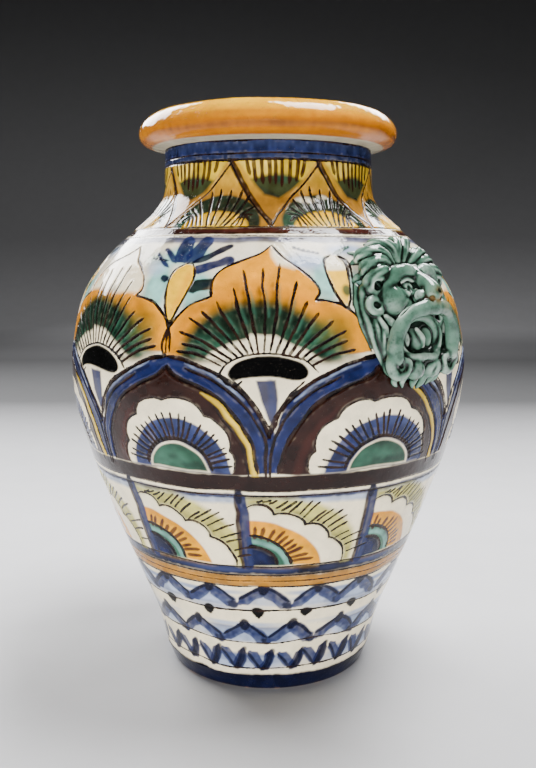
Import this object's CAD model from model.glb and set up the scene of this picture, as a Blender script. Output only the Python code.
import math

import bpy
import numpy as np
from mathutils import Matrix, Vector


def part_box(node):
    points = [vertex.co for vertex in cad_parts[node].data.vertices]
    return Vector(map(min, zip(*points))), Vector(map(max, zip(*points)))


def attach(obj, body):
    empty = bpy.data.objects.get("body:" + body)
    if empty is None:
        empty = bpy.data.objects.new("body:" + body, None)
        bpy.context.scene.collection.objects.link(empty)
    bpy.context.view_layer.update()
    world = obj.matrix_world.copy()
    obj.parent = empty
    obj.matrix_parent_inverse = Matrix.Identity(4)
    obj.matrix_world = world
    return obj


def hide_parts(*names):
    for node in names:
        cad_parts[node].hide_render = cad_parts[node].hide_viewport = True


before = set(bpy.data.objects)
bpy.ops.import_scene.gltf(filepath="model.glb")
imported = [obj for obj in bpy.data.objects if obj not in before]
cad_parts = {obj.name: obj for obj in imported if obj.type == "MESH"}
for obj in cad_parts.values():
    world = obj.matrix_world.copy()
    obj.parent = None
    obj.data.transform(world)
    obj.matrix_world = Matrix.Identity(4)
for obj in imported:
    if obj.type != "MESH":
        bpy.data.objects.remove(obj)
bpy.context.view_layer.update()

# Tin-glazed pottery vase: painted wall, rolled rim and two green lion masks in relief.
#
# Lengths on the vase are in millimetres until a mesh is written, and the stage, the camera
# and the lights are placed in metres.
# The wall is a turned surface, unrolled into a canvas.  A place on it is (turn, rise):
# turn is in degrees from the side that faces the camera, positive to the right, and rise
# is the arc length in mm up the wall's outline from the foot.  Every motif is painted on
# the canvas by a function, and the incised lines are cut into the mesh as real grooves.

MM = 0.001
RNG = np.random.default_rng(41)

# Sizes of the vessel, read from the frame.
FOOT_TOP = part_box("foot_ring")[1][2] / MM
BELLY_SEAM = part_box("lower_wall")[1][2] / MM
BELLY_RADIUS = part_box("belly_wall")[1][0] / MM
THROAT_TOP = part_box("neck_collar")[1][2] / MM

# The height at which the shoulder turns into the neck.
NECK_SEAM = 239.5

# The vessel's outline through those places: (height, radius).
OUTLINE = (
    (0.0, 55.8), (FOOT_TOP, 59.2), (30.0, 64.4), (50.0, 72.3), (73.3, 81.4), (90.0, 87.6),
    (110.0, 94.8), (BELLY_SEAM, 99.6), (145.0, 105.1), (168.0, BELLY_RADIUS), (190.0, 104.7),
    (205.0, 100.6), (220.0, 91.9), (230.0, 83.7), (NECK_SEAM, 73.1), (250.0, 61.8),
    (258.0, 57.0), (266.0, 56.2), (THROAT_TOP, 55.6),
)

# The wall's mesh: columns all round, and mm of rise from row to row.
COLUMNS = 1500
ROW_STEP = 0.45

# The masks face +X and -X, and the camera looks at the wall this many degrees to the left of +X.
MASK_TURN = 39.5


def glaze(red, green, blue):
    """A fired glaze's colour, as linear light returned."""
    return np.array([red, green, blue])


CREAM = glaze(0.90, 0.79, 0.55)
CLAY = glaze(0.42, 0.22, 0.11)
ORANGE = glaze(0.74, 0.285, 0.002)
DEEP_ORANGE = glaze(0.38, 0.11, 0.002)
OCHRE = glaze(0.36, 0.16, 0.015)
YELLOW = glaze(0.88, 0.48, 0.002)
DULL_YELLOW = glaze(0.56, 0.37, 0.02)
PALE_YELLOW = glaze(0.88, 0.62, 0.10)
LEAF_GREEN = glaze(0.018, 0.070, 0.040)
DARK_GREEN = glaze(0.005, 0.022, 0.014)
OLIVE = glaze(0.075, 0.080, 0.014)
SEA_GREEN = glaze(0.040, 0.125, 0.082)
LIME = glaze(0.52, 0.47, 0.13)
COBALT = glaze(0.009, 0.014, 0.062)
MID_BLUE = glaze(0.030, 0.042, 0.115)
PALE_BLUE = glaze(0.34, 0.41, 0.56)
TURQUOISE = glaze(0.24, 0.50, 0.44)
NAVY = glaze(0.003, 0.004, 0.016)
BROWN = glaze(0.018, 0.006, 0.004)
MAROON = glaze(0.045, 0.011, 0.008)
BLACK = glaze(0.002, 0.002, 0.002)
INK = (0.005, 0.003, 0.003, 1.0)


# Curves and noise -----------------------------------------------------------------


def smooth_curve(places, values):
    """A curve through the points with no overshoot (monotone cubic), as a function."""
    places = np.asarray(places, dtype=float)
    values = np.asarray(values, dtype=float)
    steps = np.diff(places)
    slopes = np.diff(values) / steps
    lean = np.zeros(len(values))
    lean[0] = slopes[0]
    lean[-1] = slopes[-1]
    same_way = slopes[1:] * slopes[:-1] > 0
    weight_a = 2 * steps[1:] + steps[:-1]
    weight_b = steps[1:] + 2 * steps[:-1]
    with np.errstate(divide="ignore", invalid="ignore"):
        mean = (weight_a + weight_b) / (weight_a / slopes[:-1] + weight_b / slopes[1:])
    lean[1:-1] = np.where(same_way, mean, 0.0)

    def curve(at):
        """The curve's values at the places given, held level past its ends."""
        at = np.clip(at, places[0], places[-1])
        index = np.clip(np.searchsorted(places, at, side="right") - 1, 0, len(steps) - 1)
        step = steps[index]
        part = (at - places[index]) / step
        start = values[index] * (1 + 2 * part) * (1 - part) ** 2
        end = values[index + 1] * part**2 * (3 - 2 * part)
        bend = lean[index] * part * (1 - part) ** 2 - lean[index + 1] * part**2 * (1 - part)
        return start + end + bend * step

    return curve


def bend_line(points, per_span=8):
    """A smooth line through a few points (Catmull-Rom), as a longer list of points."""
    points = np.asarray(points, dtype=float)
    if len(points) < 3:
        return points
    padded = np.vstack([2 * points[0] - points[1], points, 2 * points[-1] - points[-2]])
    part = np.linspace(0, 1, per_span, endpoint=False)[:, None]
    line = []
    for a, b, c, d in zip(padded, padded[1:], padded[2:], padded[3:]):
        cubic = (2 * b + (c - a) * part + (2 * a - 5 * b + 4 * c - d) * part**2
                 + (3 * b - a - 3 * c + d) * part**3)
        line.append(cubic / 2)
    return np.vstack(line + [points[-1:]])


def grid_noise(shape, cells, wrap):
    """Smooth noise from -1 to 1 on a grid, with a given number of cells each way."""
    axes = []
    for size, count, around in zip(shape, cells, wrap):
        at = np.arange(size) / size * count
        low = np.floor(at).astype(int)
        part = at - low
        part = part * part * (3 - 2 * part)
        high = (low + 1) % count if around else low + 1
        axes.append((low, high, part))
    lattice = RNG.uniform(-1, 1, [count + 2 for count in cells])
    rows_low, rows_high, rows_part = axes[0]
    cols_low, cols_high, cols_part = axes[1]
    top = lattice[np.ix_(rows_low, cols_low)] * (1 - cols_part)
    top += lattice[np.ix_(rows_low, cols_high)] * cols_part
    foot = lattice[np.ix_(rows_high, cols_low)] * (1 - cols_part)
    foot += lattice[np.ix_(rows_high, cols_high)] * cols_part
    return top * (1 - rows_part[:, None]) + foot * rows_part[:, None]


def step_down(distance, soft):
    """Cover from 1 inside (negative distance) to 0 outside, over a soft edge."""
    return np.clip(0.5 - distance / soft, 0.0, 1.0)


def ellipse_distance(x, y, half_x, half_y):
    """Distance from an ellipse's edge, negative inside (first order)."""
    scaled = np.sqrt((x / half_x) ** 2 + (y / half_y) ** 2) + 1e-9
    slope = np.sqrt((x / half_x**2) ** 2 + (y / half_y**2) ** 2) + 1e-9
    return scaled * (scaled - 1) / slope


# The wall -------------------------------------------------------------------------


class Wall:
    """The outline as radius and height against rise, the arc length from the foot."""

    def __init__(self):
        heights = [height for height, _ in OUTLINE]
        radii = [radius for _, radius in OUTLINE]
        fine = np.linspace(0.0, heights[-1], 4001)
        shape = smooth_curve(heights, radii)(fine)
        lengths = np.hypot(np.diff(fine), np.diff(shape))
        self.fine_rise = np.concatenate([[0.0], np.cumsum(lengths)])
        self.fine_height = fine
        self.fine_radius = shape
        self.top = self.fine_rise[-1]

    def height(self, rise):
        """The height at a rise."""
        return np.interp(rise, self.fine_rise, self.fine_height)

    def radius(self, rise):
        """The radius at a rise."""
        return np.interp(rise, self.fine_rise, self.fine_radius)

    def rise(self, height):
        """The rise at a height."""
        return float(np.interp(height, self.fine_height, self.fine_rise))

    def outward(self, rise):
        """The outward normal as (radial, vertical)."""
        rise = np.asarray(rise, dtype=float)
        across = self.radius(rise + 0.5) - self.radius(rise - 0.5)
        up = self.height(rise + 0.5) - self.height(rise - 0.5)
        size = np.hypot(across, up)
        return up / size, -across / size


WALL_SHAPE = Wall()


class Canvas:
    """The unrolled wall: its colours, incised lines and relief."""

    def __init__(self):
        self.rises = np.arange(0.0, WALL_SHAPE.top + ROW_STEP / 2, ROW_STEP)
        self.turns = np.arange(COLUMNS) * 360.0 / COLUMNS - 180.0
        self.scale = np.radians(1.0) * WALL_SHAPE.radius(self.rises)
        shape = (len(self.rises), COLUMNS)
        self.paint = np.ones(shape + (3,)) * CREAM
        self.line = np.full(shape, 3.0)
        self.relief = np.zeros(shape)
        # No mark uses the noise of size 1.0, which only keeps its place in the random draws.
        self.noises = {size: self.make_noise(shape, size) for size in (1.0, 2.2, 5.0, 12.0, 30.0)}
        self.sway_x = 0.8 * self.make_noise(shape, 14.0) + 0.35 * self.make_noise(shape, 6.0)
        self.sway_y = 0.8 * self.make_noise(shape, 14.0) + 0.35 * self.make_noise(shape, 6.0)

    def make_noise(self, shape, size):
        """Noise with features of about this size in mm."""
        rows = max(2, round(WALL_SHAPE.top / size))
        columns = max(4, round(math.tau * 85.0 / size))
        return grid_noise(shape, (rows, columns), (False, True))

    def window(self, turn, left, right, low, high, wobble=0.5):
        """A window of the canvas, with turns measured from the turn given."""
        return Patch(self, turn, (left, right), (low, high), wobble)


class Patch:
    """A window of the canvas in which one mark is painted."""

    def __init__(self, canvas, turn, sides, rises, wobble):
        self.canvas = canvas
        step = 360.0 / COLUMNS
        first = math.floor((turn + sides[0] + 180.0) / step)
        last = math.ceil((turn + sides[1] + 180.0) / step)
        columns = np.arange(first, last + 1)[:COLUMNS]
        low = max(0, int(rises[0] / ROW_STEP))
        high = max(low + 1, min(len(canvas.rises), int(rises[1] / ROW_STEP) + 2))
        self.at = np.ix_(np.arange(low, high), columns % COLUMNS)
        self.scale = canvas.scale[low:high, None]
        across = (columns * step - 180.0 - turn)[None, :]
        self.x = across * self.scale + wobble * canvas.sway_x[self.at]
        self.y = canvas.rises[low:high, None] + wobble * canvas.sway_y[self.at]
        self.turn = self.x / self.scale

    def noise(self, size):
        """The canvas's noise of this size, within the window."""
        return self.canvas.noises[size][self.at]

    def span(self, line):
        """Distance from a line of (turn, rise) points, and how far along it the nearest is."""
        line = np.asarray(line, dtype=float)
        best = np.full(self.x.shape, 1e9)
        along = np.zeros(self.x.shape)
        count = len(line) - 1
        for index, ((turn_a, rise_a), (turn_b, rise_b)) in enumerate(zip(line, line[1:])):
            start_x = turn_a * self.scale
            run_x = (turn_b - turn_a) * self.scale
            run_y = rise_b - rise_a
            part = (self.x - start_x) * run_x + (self.y - rise_a) * run_y
            part = np.clip(part / (run_x**2 + run_y**2 + 1e-9), 0.0, 1.0)
            away = (self.x - start_x - part * run_x) ** 2 + (self.y - rise_a - part * run_y) ** 2
            nearer = away < best
            best = np.where(nearer, away, best)
            along = np.where(nearer, (index + part) / count, along)
        return np.sqrt(best), along

    def outline(self, line):
        """Signed distance from a closed shape, negative inside."""
        line = np.asarray(line, dtype=float)
        away, _ = self.span(np.vstack([line, line[:1]]))
        inside = np.zeros(self.x.shape, dtype=bool)
        for (turn_a, rise_a), (turn_b, rise_b) in zip(line, np.roll(line, -1, axis=0)):
            if rise_a == rise_b:
                continue
            crosses = (self.y > rise_a) != (self.y > rise_b)
            edge = turn_a + (self.y - rise_a) / (rise_b - rise_a) * (turn_b - turn_a)
            inside ^= crosses & (self.turn < edge)
        return np.where(inside, -away, away)

    def wash(self, colour, cover):
        """Lay a colour over what is there."""
        cover = np.clip(cover, 0.0, 1.0)[..., None]
        paint = self.canvas.paint[self.at]
        self.canvas.paint[self.at] = paint * (1 - cover) + colour * cover

    def fill(self, colour, distance, soft=0.6, strength=1.0, mottle=0.12):
        """Fill a shape, with the slight unevenness of brushed glaze."""
        uneven = 1.0 + mottle * self.noise(5.0) + 0.6 * mottle * self.noise(2.2)
        tinted = colour * np.clip(uneven, 0.4, 1.6)[..., None]
        self.wash(tinted, step_down(distance, soft) * strength)

    def groove(self, edge, depth, burr):
        """Cut an incised line, dark with pigment, with a pale burr turned up beside it."""
        self.canvas.line[self.at] = np.minimum(self.canvas.line[self.at], edge)
        ridge = np.exp(-(((edge - 0.5) / 0.4) ** 2))
        self.wash(CREAM, 0.3 * burr * ridge * np.clip(0.9 * self.noise(2.2) - 0.1, 0.0, 1.0))
        relief = -depth * step_down(edge, 0.8) + 0.32 * depth * ridge
        self.canvas.relief[self.at] += relief * np.clip(1.0 + 0.3 * self.noise(5.0), 0.3, 1.4)


class Pen:
    """Paints the marks of one motif, placed from the motif's own turn round the wall."""

    def __init__(self, canvas, turn, wobble=0.5):
        self.canvas = canvas
        self.turn = turn
        self.wobble = wobble

    def around(self, points, margin=4.0):
        """A window just big enough for a mark."""
        low_turn, low_rise = np.min(points, axis=0)
        high_turn, high_rise = np.max(points, axis=0)
        side = margin * 1.15
        rises = (low_rise - margin, high_rise + margin)
        return self.canvas.window(self.turn, low_turn - side, high_turn + side, *rises, self.wobble)

    def fill(self, colour, points, soft=0.6, strength=1.0, mottle=0.12, smooth=False):
        """A filled closed shape."""
        line = bend_line(np.vstack([points, points[:1]])) if smooth else np.asarray(points, float)
        patch = self.around(line, 3.0 + soft)
        patch.fill(colour, patch.outline(line), soft, strength, mottle)

    def ellipse(self, colour, middle, half_x, half_y, floor=-1e9, soft=0.6, strength=1.0,
                mottle=0.12, left=-1e9):
        """A filled ellipse with half sizes in mm, cut off level at a floor, or at a left side."""
        reach = half_x / 0.9 + soft
        left_low = (max(left, middle[0] - reach), max(floor, middle[1] - half_y))
        patch = self.around([left_low, (middle[0] + reach, middle[1] + half_y)], 3.0 + soft)
        x = patch.x - middle[0] * patch.scale
        distance = ellipse_distance(x, patch.y - middle[1], half_x, half_y)
        distance = np.maximum(distance, floor - patch.y)
        distance = np.maximum(distance, left * patch.scale - patch.x)
        patch.fill(colour, distance, soft, strength, mottle)

    def brush(self, colour, points, width, ends=(0.4, 0.4), strength=0.95, soft=0.5, dry=0.25,
              smooth=True):
        """One brush stroke along a line, tapered at its ends."""
        line = bend_line(points, 6) if smooth else np.asarray(points, dtype=float)
        patch = self.around(line, width / 2 + 2.5)
        away, along = patch.span(line)
        body = np.minimum(ends[0] + along * 4, 1.0) * np.minimum(ends[1] + (1 - along) * 4, 1.0)
        edge = away - width / 2 * body * (1 + 0.2 * patch.noise(5.0))
        thin = 1 - dry * (0.5 + 0.5 * patch.noise(2.2))
        patch.wash(colour, step_down(edge, soft) * strength * thin)

    def cut(self, points, width=0.9, depth=0.3, burr=0.35, smooth=True):
        """An incised line."""
        line = bend_line(points, 6) if smooth else np.asarray(points, dtype=float)
        patch = self.around(line, width / 2 + 3.0)
        away, along = patch.span(line)
        ends = np.clip(np.minimum(along, 1 - along) * 12 + 0.45, 0.45, 1.0)
        rough = 1 + 0.28 * patch.noise(5.0) + 0.15 * patch.noise(2.2)
        patch.groove(away - width / 2 * ends * rough, depth, burr)


def ring(canvas, low, high, colour, soft=0.7, strength=1.0, waver=0.35, mottle=0.15):
    """A band of colour all round the wall."""
    patch = canvas.window(0.0, -180.0, 180.0, low - 4, high + 4, 0.0)
    middle = (low + high) / 2
    away = np.abs(patch.y + waver * patch.noise(12.0) - middle) - (high - low) / 2
    patch.fill(colour, away + 0.25 * patch.noise(2.2), soft, strength, mottle)


def ring_line(canvas, rise, width=0.8, depth=0.25, waver=0.5, burr=0.3):
    """An incised line all round the wall."""
    patch = canvas.window(0.0, -180.0, 180.0, rise - 4, rise + 4, 0.0)
    away = np.abs(patch.y + waver * patch.noise(30.0) + 0.3 * waver * patch.noise(12.0) - rise)
    rough = 1 + 0.4 * patch.noise(12.0) + 0.25 * patch.noise(2.2)
    patch.groove(away - width / 2 * rough, depth, burr)


# Painted motifs -------------------------------------------------------------------
#
# Each is drawn from its own middle, as points of (degrees across to the right, rise in mm).


def jitter(amount):
    """A small random change, up to this amount either way."""
    return float(RNG.uniform(-amount, amount))


def lobes(cusps, bulges):
    """A scalloped line through its cusps, each lobe bulging to the left of the way along."""
    line = []
    for start, end, bulge in zip(cusps, cusps[1:], bulges):
        start = np.array(start, dtype=float)
        end = np.array(end, dtype=float)
        run = end - start
        side = np.array([-run[1] * 0.6, run[0] * 0.6 * 2.4]) / math.hypot(run[0] * 1.55, run[1])
        for part in np.linspace(0, 1, 9, endpoint=False):
            line.append(start + run * part + side * bulge * (1 - (2 * part - 1) ** 2) ** 0.8)
    return line + [np.array(cusps[-1], dtype=float)]


def moved(points, across, up):
    """The same points, moved by degrees to the right and mm of rise."""
    return [(turn + across, rise + up) for turn, rise in points]


def streaks(canvas, low, high, colour, count, strength):
    """Thin washed brush streaks round the wall, that fade in and out."""
    for _ in range(count):
        rise, width = RNG.uniform(low, high), RNG.uniform(1.0, 3.4)
        patch = canvas.window(0.0, -180.0, 180.0, rise - 6, rise + 6, 0.0)
        away = np.abs(patch.y + 0.5 * patch.noise(30.0) - rise) - width / 2
        fade = np.clip(0.45 + 1.1 * patch.noise(30.0) + 0.4 * patch.noise(12.0), 0.0, 1.0)
        patch.wash(colour, step_down(away, 1.4) * strength * fade)


def paint_foot_bands(canvas):
    """The navy foot, three rows of brushed chevrons and the lines between them."""
    ring(canvas, -2.0, 10.4, NAVY, 1.2, 1.0, 0.8, 0.35)
    ring(canvas, -2.0, 6.4, COBALT * 0.4, 3.0, 0.8, 0.8, 0.35)
    for low, high in ((15.5, 24.0), (33.0, 45.0), (54.5, 66.0)):
        streaks(canvas, low, high, PALE_BLUE, 10, 0.95)
        streaks(canvas, low, high, MID_BLUE, 4, 0.38)
    for rise, width in ((15.0, 1.0), (31.6, 0.9), (53.4, 1.1)):
        ring_line(canvas, rise, width, 0.15, 0.9, 0.1)
    for index in range(27):
        pen = Pen(canvas, -42.6 + index * 360 / 27 + jitter(0.8), 0.7)
        lift = jitter(0.8)
        left = [(-5.4 + jitter(0.5), 25.6 + lift), (-3.0, 21.4 + lift), (0.0, 15.2)]
        right = [(0.2, 14.4), (2.6, 19.4 + lift), (4.8 + jitter(0.5), 26.6 + lift)]
        pen.fill(PALE_BLUE, [left[1], left[2], right[1]], 2.0, 0.6, 0.3)
        for colour, line, width in ((MID_BLUE, left, 6.0), (COBALT, right, 5.6)):
            pen.brush(colour, line, width, (0.35, 0.35), 1.0, 0.6, 0.12)
            pen.brush(NAVY, moved(line, -0.9, -0.6), 1.7, (0.6, 0.6), 0.95, 0.5, 0.2)
        pen.brush(NAVY, moved(right, 0.7, 0.3), 2.6, (0.5, 0.9), 0.9, 0.7, 0.2)
    for count, start, peak, foot, reach in ((17, -9.8, 45.8, 32.6, 10.0), (18, -1.6, 70.0, 57.6, 9.4)):
        for index in range(count):
            pen = Pen(canvas, start + index * 360 / count + jitter(1.0), 0.8)
            rise = peak + jitter(0.6)
            left = [(-reach, foot), (-reach * 0.5, foot + 5.6), (-0.6, rise - 3.0)]
            right = [(0.2, rise - 3.2), (reach * 0.5, foot + 5.0), (reach * 0.96, foot - 0.6)]
            pen.fill(PALE_BLUE, [left[0], left[2], right[2]], 1.6, 0.7, 0.3)
            for leg, width in ((left, 6.4), (right, 7.6)):
                pen.brush(MID_BLUE, leg, width, (0.5, 0.6), 1.0, 0.7, 0.2, False)
                pen.brush(COBALT, leg, width * 0.6, (0.5, 0.7), 0.6, 1.6, 0.5, False)
                upper_edge = moved(leg, 0.0, width * 0.42)
                pen.brush(NAVY, upper_edge, 1.9, (0.6, 0.7), 1.0, 0.5, 0.15, False)
            pen.brush(NAVY, [(right[2][0] - 1.6, foot + 0.6), right[2]], 5.0, (0.5, 0.8), 0.8, 1.2, 0.2)
            pen.brush(NAVY, [(-0.4, rise - 3.6), (0.1, rise + 0.2)], 5.0, (0.8, 0.8), 1.0, 0.9, 0.1)
    for index in range(18):
        pen = Pen(canvas, -4.0 + index * 20 + jitter(1.0), 1.2)
        pen.ellipse(BLACK, (0.0, 53.0), 3.1, 2.8, -1e9, 0.7, 1.0, 0.0)
        pen.brush(BLACK, [(-0.2, 53.0), (0.3, 49.8)], 3.8, (0.8, 0.5), 1.0, 0.7, 0.0)


def paint_panel_bands(canvas):
    """The bands above and below the row of panels."""
    ring(canvas, 69.6, 76.8, OCHRE * 0.75, 0.9, 0.97, 0.5, 0.2)
    ring(canvas, 71.6, 75.2, ORANGE, 2.4, 0.28, 0.8, 0.3)
    ring(canvas, 76.8, 78.6, BROWN, 0.9, 0.85, 0.4, 0.3)
    ring(canvas, 78.0, 82.8, NAVY, 0.9, 1.0, 0.5, 0.5)
    streaks(canvas, 79.6, 82.4, MID_BLUE, 4, 0.5)
    ring_line(canvas, 69.4, 0.8, 0.25, 0.5, 0.4)
    ring_line(canvas, 73.2, 0.6, 0.2, 0.7, 0.3)
    ring_line(canvas, 76.9, 0.9, 0.25, 0.4, 0.4)
    ring_line(canvas, 82.6, 0.8, 0.2, 0.5, 0.3)
    ring(canvas, 119.4, 123.6, PALE_BLUE * 0.8, 2.0, 0.9, 0.6, 0.3)
    ring(canvas, 122.6, 125.2, MID_BLUE * 0.8, 1.0, 0.95, 0.5, 0.4)
    ring_line(canvas, 124.0, 0.9, 0.25, 0.5, 0.2)
    ring(canvas, 126.8, 135.4, BROWN * 0.65, 0.9, 1.0, 0.4, 0.3)
    ring_line(canvas, 126.9, 0.6, 0.2, 0.4, 0.3)


# The rise at the foot of the panels' flowers, and the cusps of a flower's scalloped edge.
PANEL_FOOT = 83.0
SCALLOP = ((1.0, 117.5), (9.0, 113.5), (17.8, 107.8), (26.0, 99.5), (32.6, PANEL_FOOT))


def paint_panel(canvas, turn):
    """One panel: a bar, and a quarter flower that grows from the corner beside it."""
    pen = Pen(canvas, turn, 0.9)
    corner = (1.6, PANEL_FOOT)
    edge = lobes(SCALLOP, (4.0, 3.8, 3.6, 3.6))
    outer = [(35.6, PANEL_FOOT), (35.8, 92.0), (34.0, 103.0), (29.0, 112.0), (22.0, 119.5), (15.0, 123.0),
             (0.5, 123.0)]
    pen.fill(LIME * 0.85, list(edge) + outer, 3.4, 1.0, 0.25)
    pen.fill(OLIVE, list(edge) + [(33.0, 95.0), (25.0, 108.0), (14.0, 116.0), (6.0, 120.0)], 4.0, 0.3)
    for colour, middle, half_x, half_y, soft, strength, mottle in (
            (ORANGE * 0.78, corner, 33.5, 27.0, 1.0, 1.0, 0.22),
            (YELLOW, (3.5, 84.0), 28.0, 22.0, 6.0, 0.3, 0.2),
            (SEA_GREEN, corner, 19.5, 18.0, 0.8, 1.0, 0.3),
            (TURQUOISE, (2.4, 84.0), 17.0, 15.2, 1.6, 0.4, 0.3),
            (LEAF_GREEN, corner, 15.6, 14.0, 1.0, 0.9, 0.3),
            (NAVY, corner, 13.0, 11.8, 1.0, 1.0, 0.3),
            (COBALT, (1.2, 84.5), 9.0, 7.8, 4.0, 0.7, 0.4)):
        pen.ellipse(colour, middle, half_x, half_y, PANEL_FOOT, soft, strength, mottle, 0.6)
    for half_x, half_y, width in ((20.2, 18.6, 1.6), (13.8, 12.4, 1.7)):
        arc = [(1.2 + half_x / 1.55 * math.sin(a), PANEL_FOOT + half_y * math.cos(a))
               for a in np.linspace(0.02, 1.54, 9)]
        pen.cut(arc, width, 0.25, 0.25)
    for index in range(10):
        angle = 0.12 + index * 0.145 + jitter(0.03)
        reach = 0.88 + jitter(0.06)
        inner = 0.66 + jitter(0.03)
        line = [(1.6 + 33.5 / 1.57 * r * math.sin(angle), PANEL_FOOT + 27.0 * r * math.cos(angle))
                for r in (inner, (inner + reach) / 2, reach)]
        pen.brush(MAROON, line, 1.9, (0.9, 0.5), 1.0, 0.5, 0.15)
    pen.cut(edge, 1.3, 0.3, 0.3, smooth=False)
    for index in range(17):
        on_edge = edge[2 + round(index * (len(edge) - 5) / 16)]
        start = np.array(on_edge) + (jitter(0.4), jitter(0.4))
        run = np.array([(start[0] + 3.0) * 1.6, start[1] - 80.0])
        run = run / np.hypot(*run) + (0.12, 0.08)
        step = run / (1.6, 1.0)
        end = start + step * (10.5 + jitter(2.2))
        end[1] = min(end[1], 122.0)
        pen.cut([start + step * 1.4, (start + end) / 2 + (0.1, 0.3), end], 1.1, 0.22, 0.3)
    for colour, bar, width, ends, strength, soft, dry in (
            (BROWN, [(-1.3, 82.5), (-1.5, 100.0), (-1.7, 117.0), (-1.4, 126.0)], 3.0,
             (1, 0.5), 1.0, 0.7, 0.1),
            (COBALT, [(0.6, 82.5), (0.4, 100.0), (0.0, 117.0), (-0.8, 126.5)], 4.8,
             (1, 0.4), 1.0, 0.7, 0.08),
            (MID_BLUE, [(1.2, 84.0), (1.0, 100.0), (0.6, 114.0)], 2.0, (1, 0.5), 0.5, 1.2, 0.5),
            (NAVY, [(-1.0, 121.0), (-1.2, 128.6)], 3.0, (0.9, 0.3), 1.0, 0.7, 0.1)):
        pen.brush(colour, bar, width, ends, strength, soft, dry)


# The rise at the foot of the arches, and mm of wall in a degree of turn there.
ARCH_FOOT = 136.5
ARCH_DEGREE = 1.74

# The outside and the inside of an arch's right flank: (share of its half width, rise).
FLANK = ((0.0, 190.5), (0.2, 189.0), (0.4, 185.5), (0.6, 180.5), (0.8, 173.0), (0.93, 164.0),
         (1.01, 155.0), (1.02, 136.0))
INNER_FLANK = ((0.0, 186.5), (0.1, 182.0), (0.38, 176.5), (0.58, 170.5), (0.74, 160.5),
               (0.85, 150.0), (0.9, 136.0))


def mirrored(points):
    """The same points on the other side of a motif's middle."""
    return [(-turn, rise) for turn, rise in points]


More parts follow.
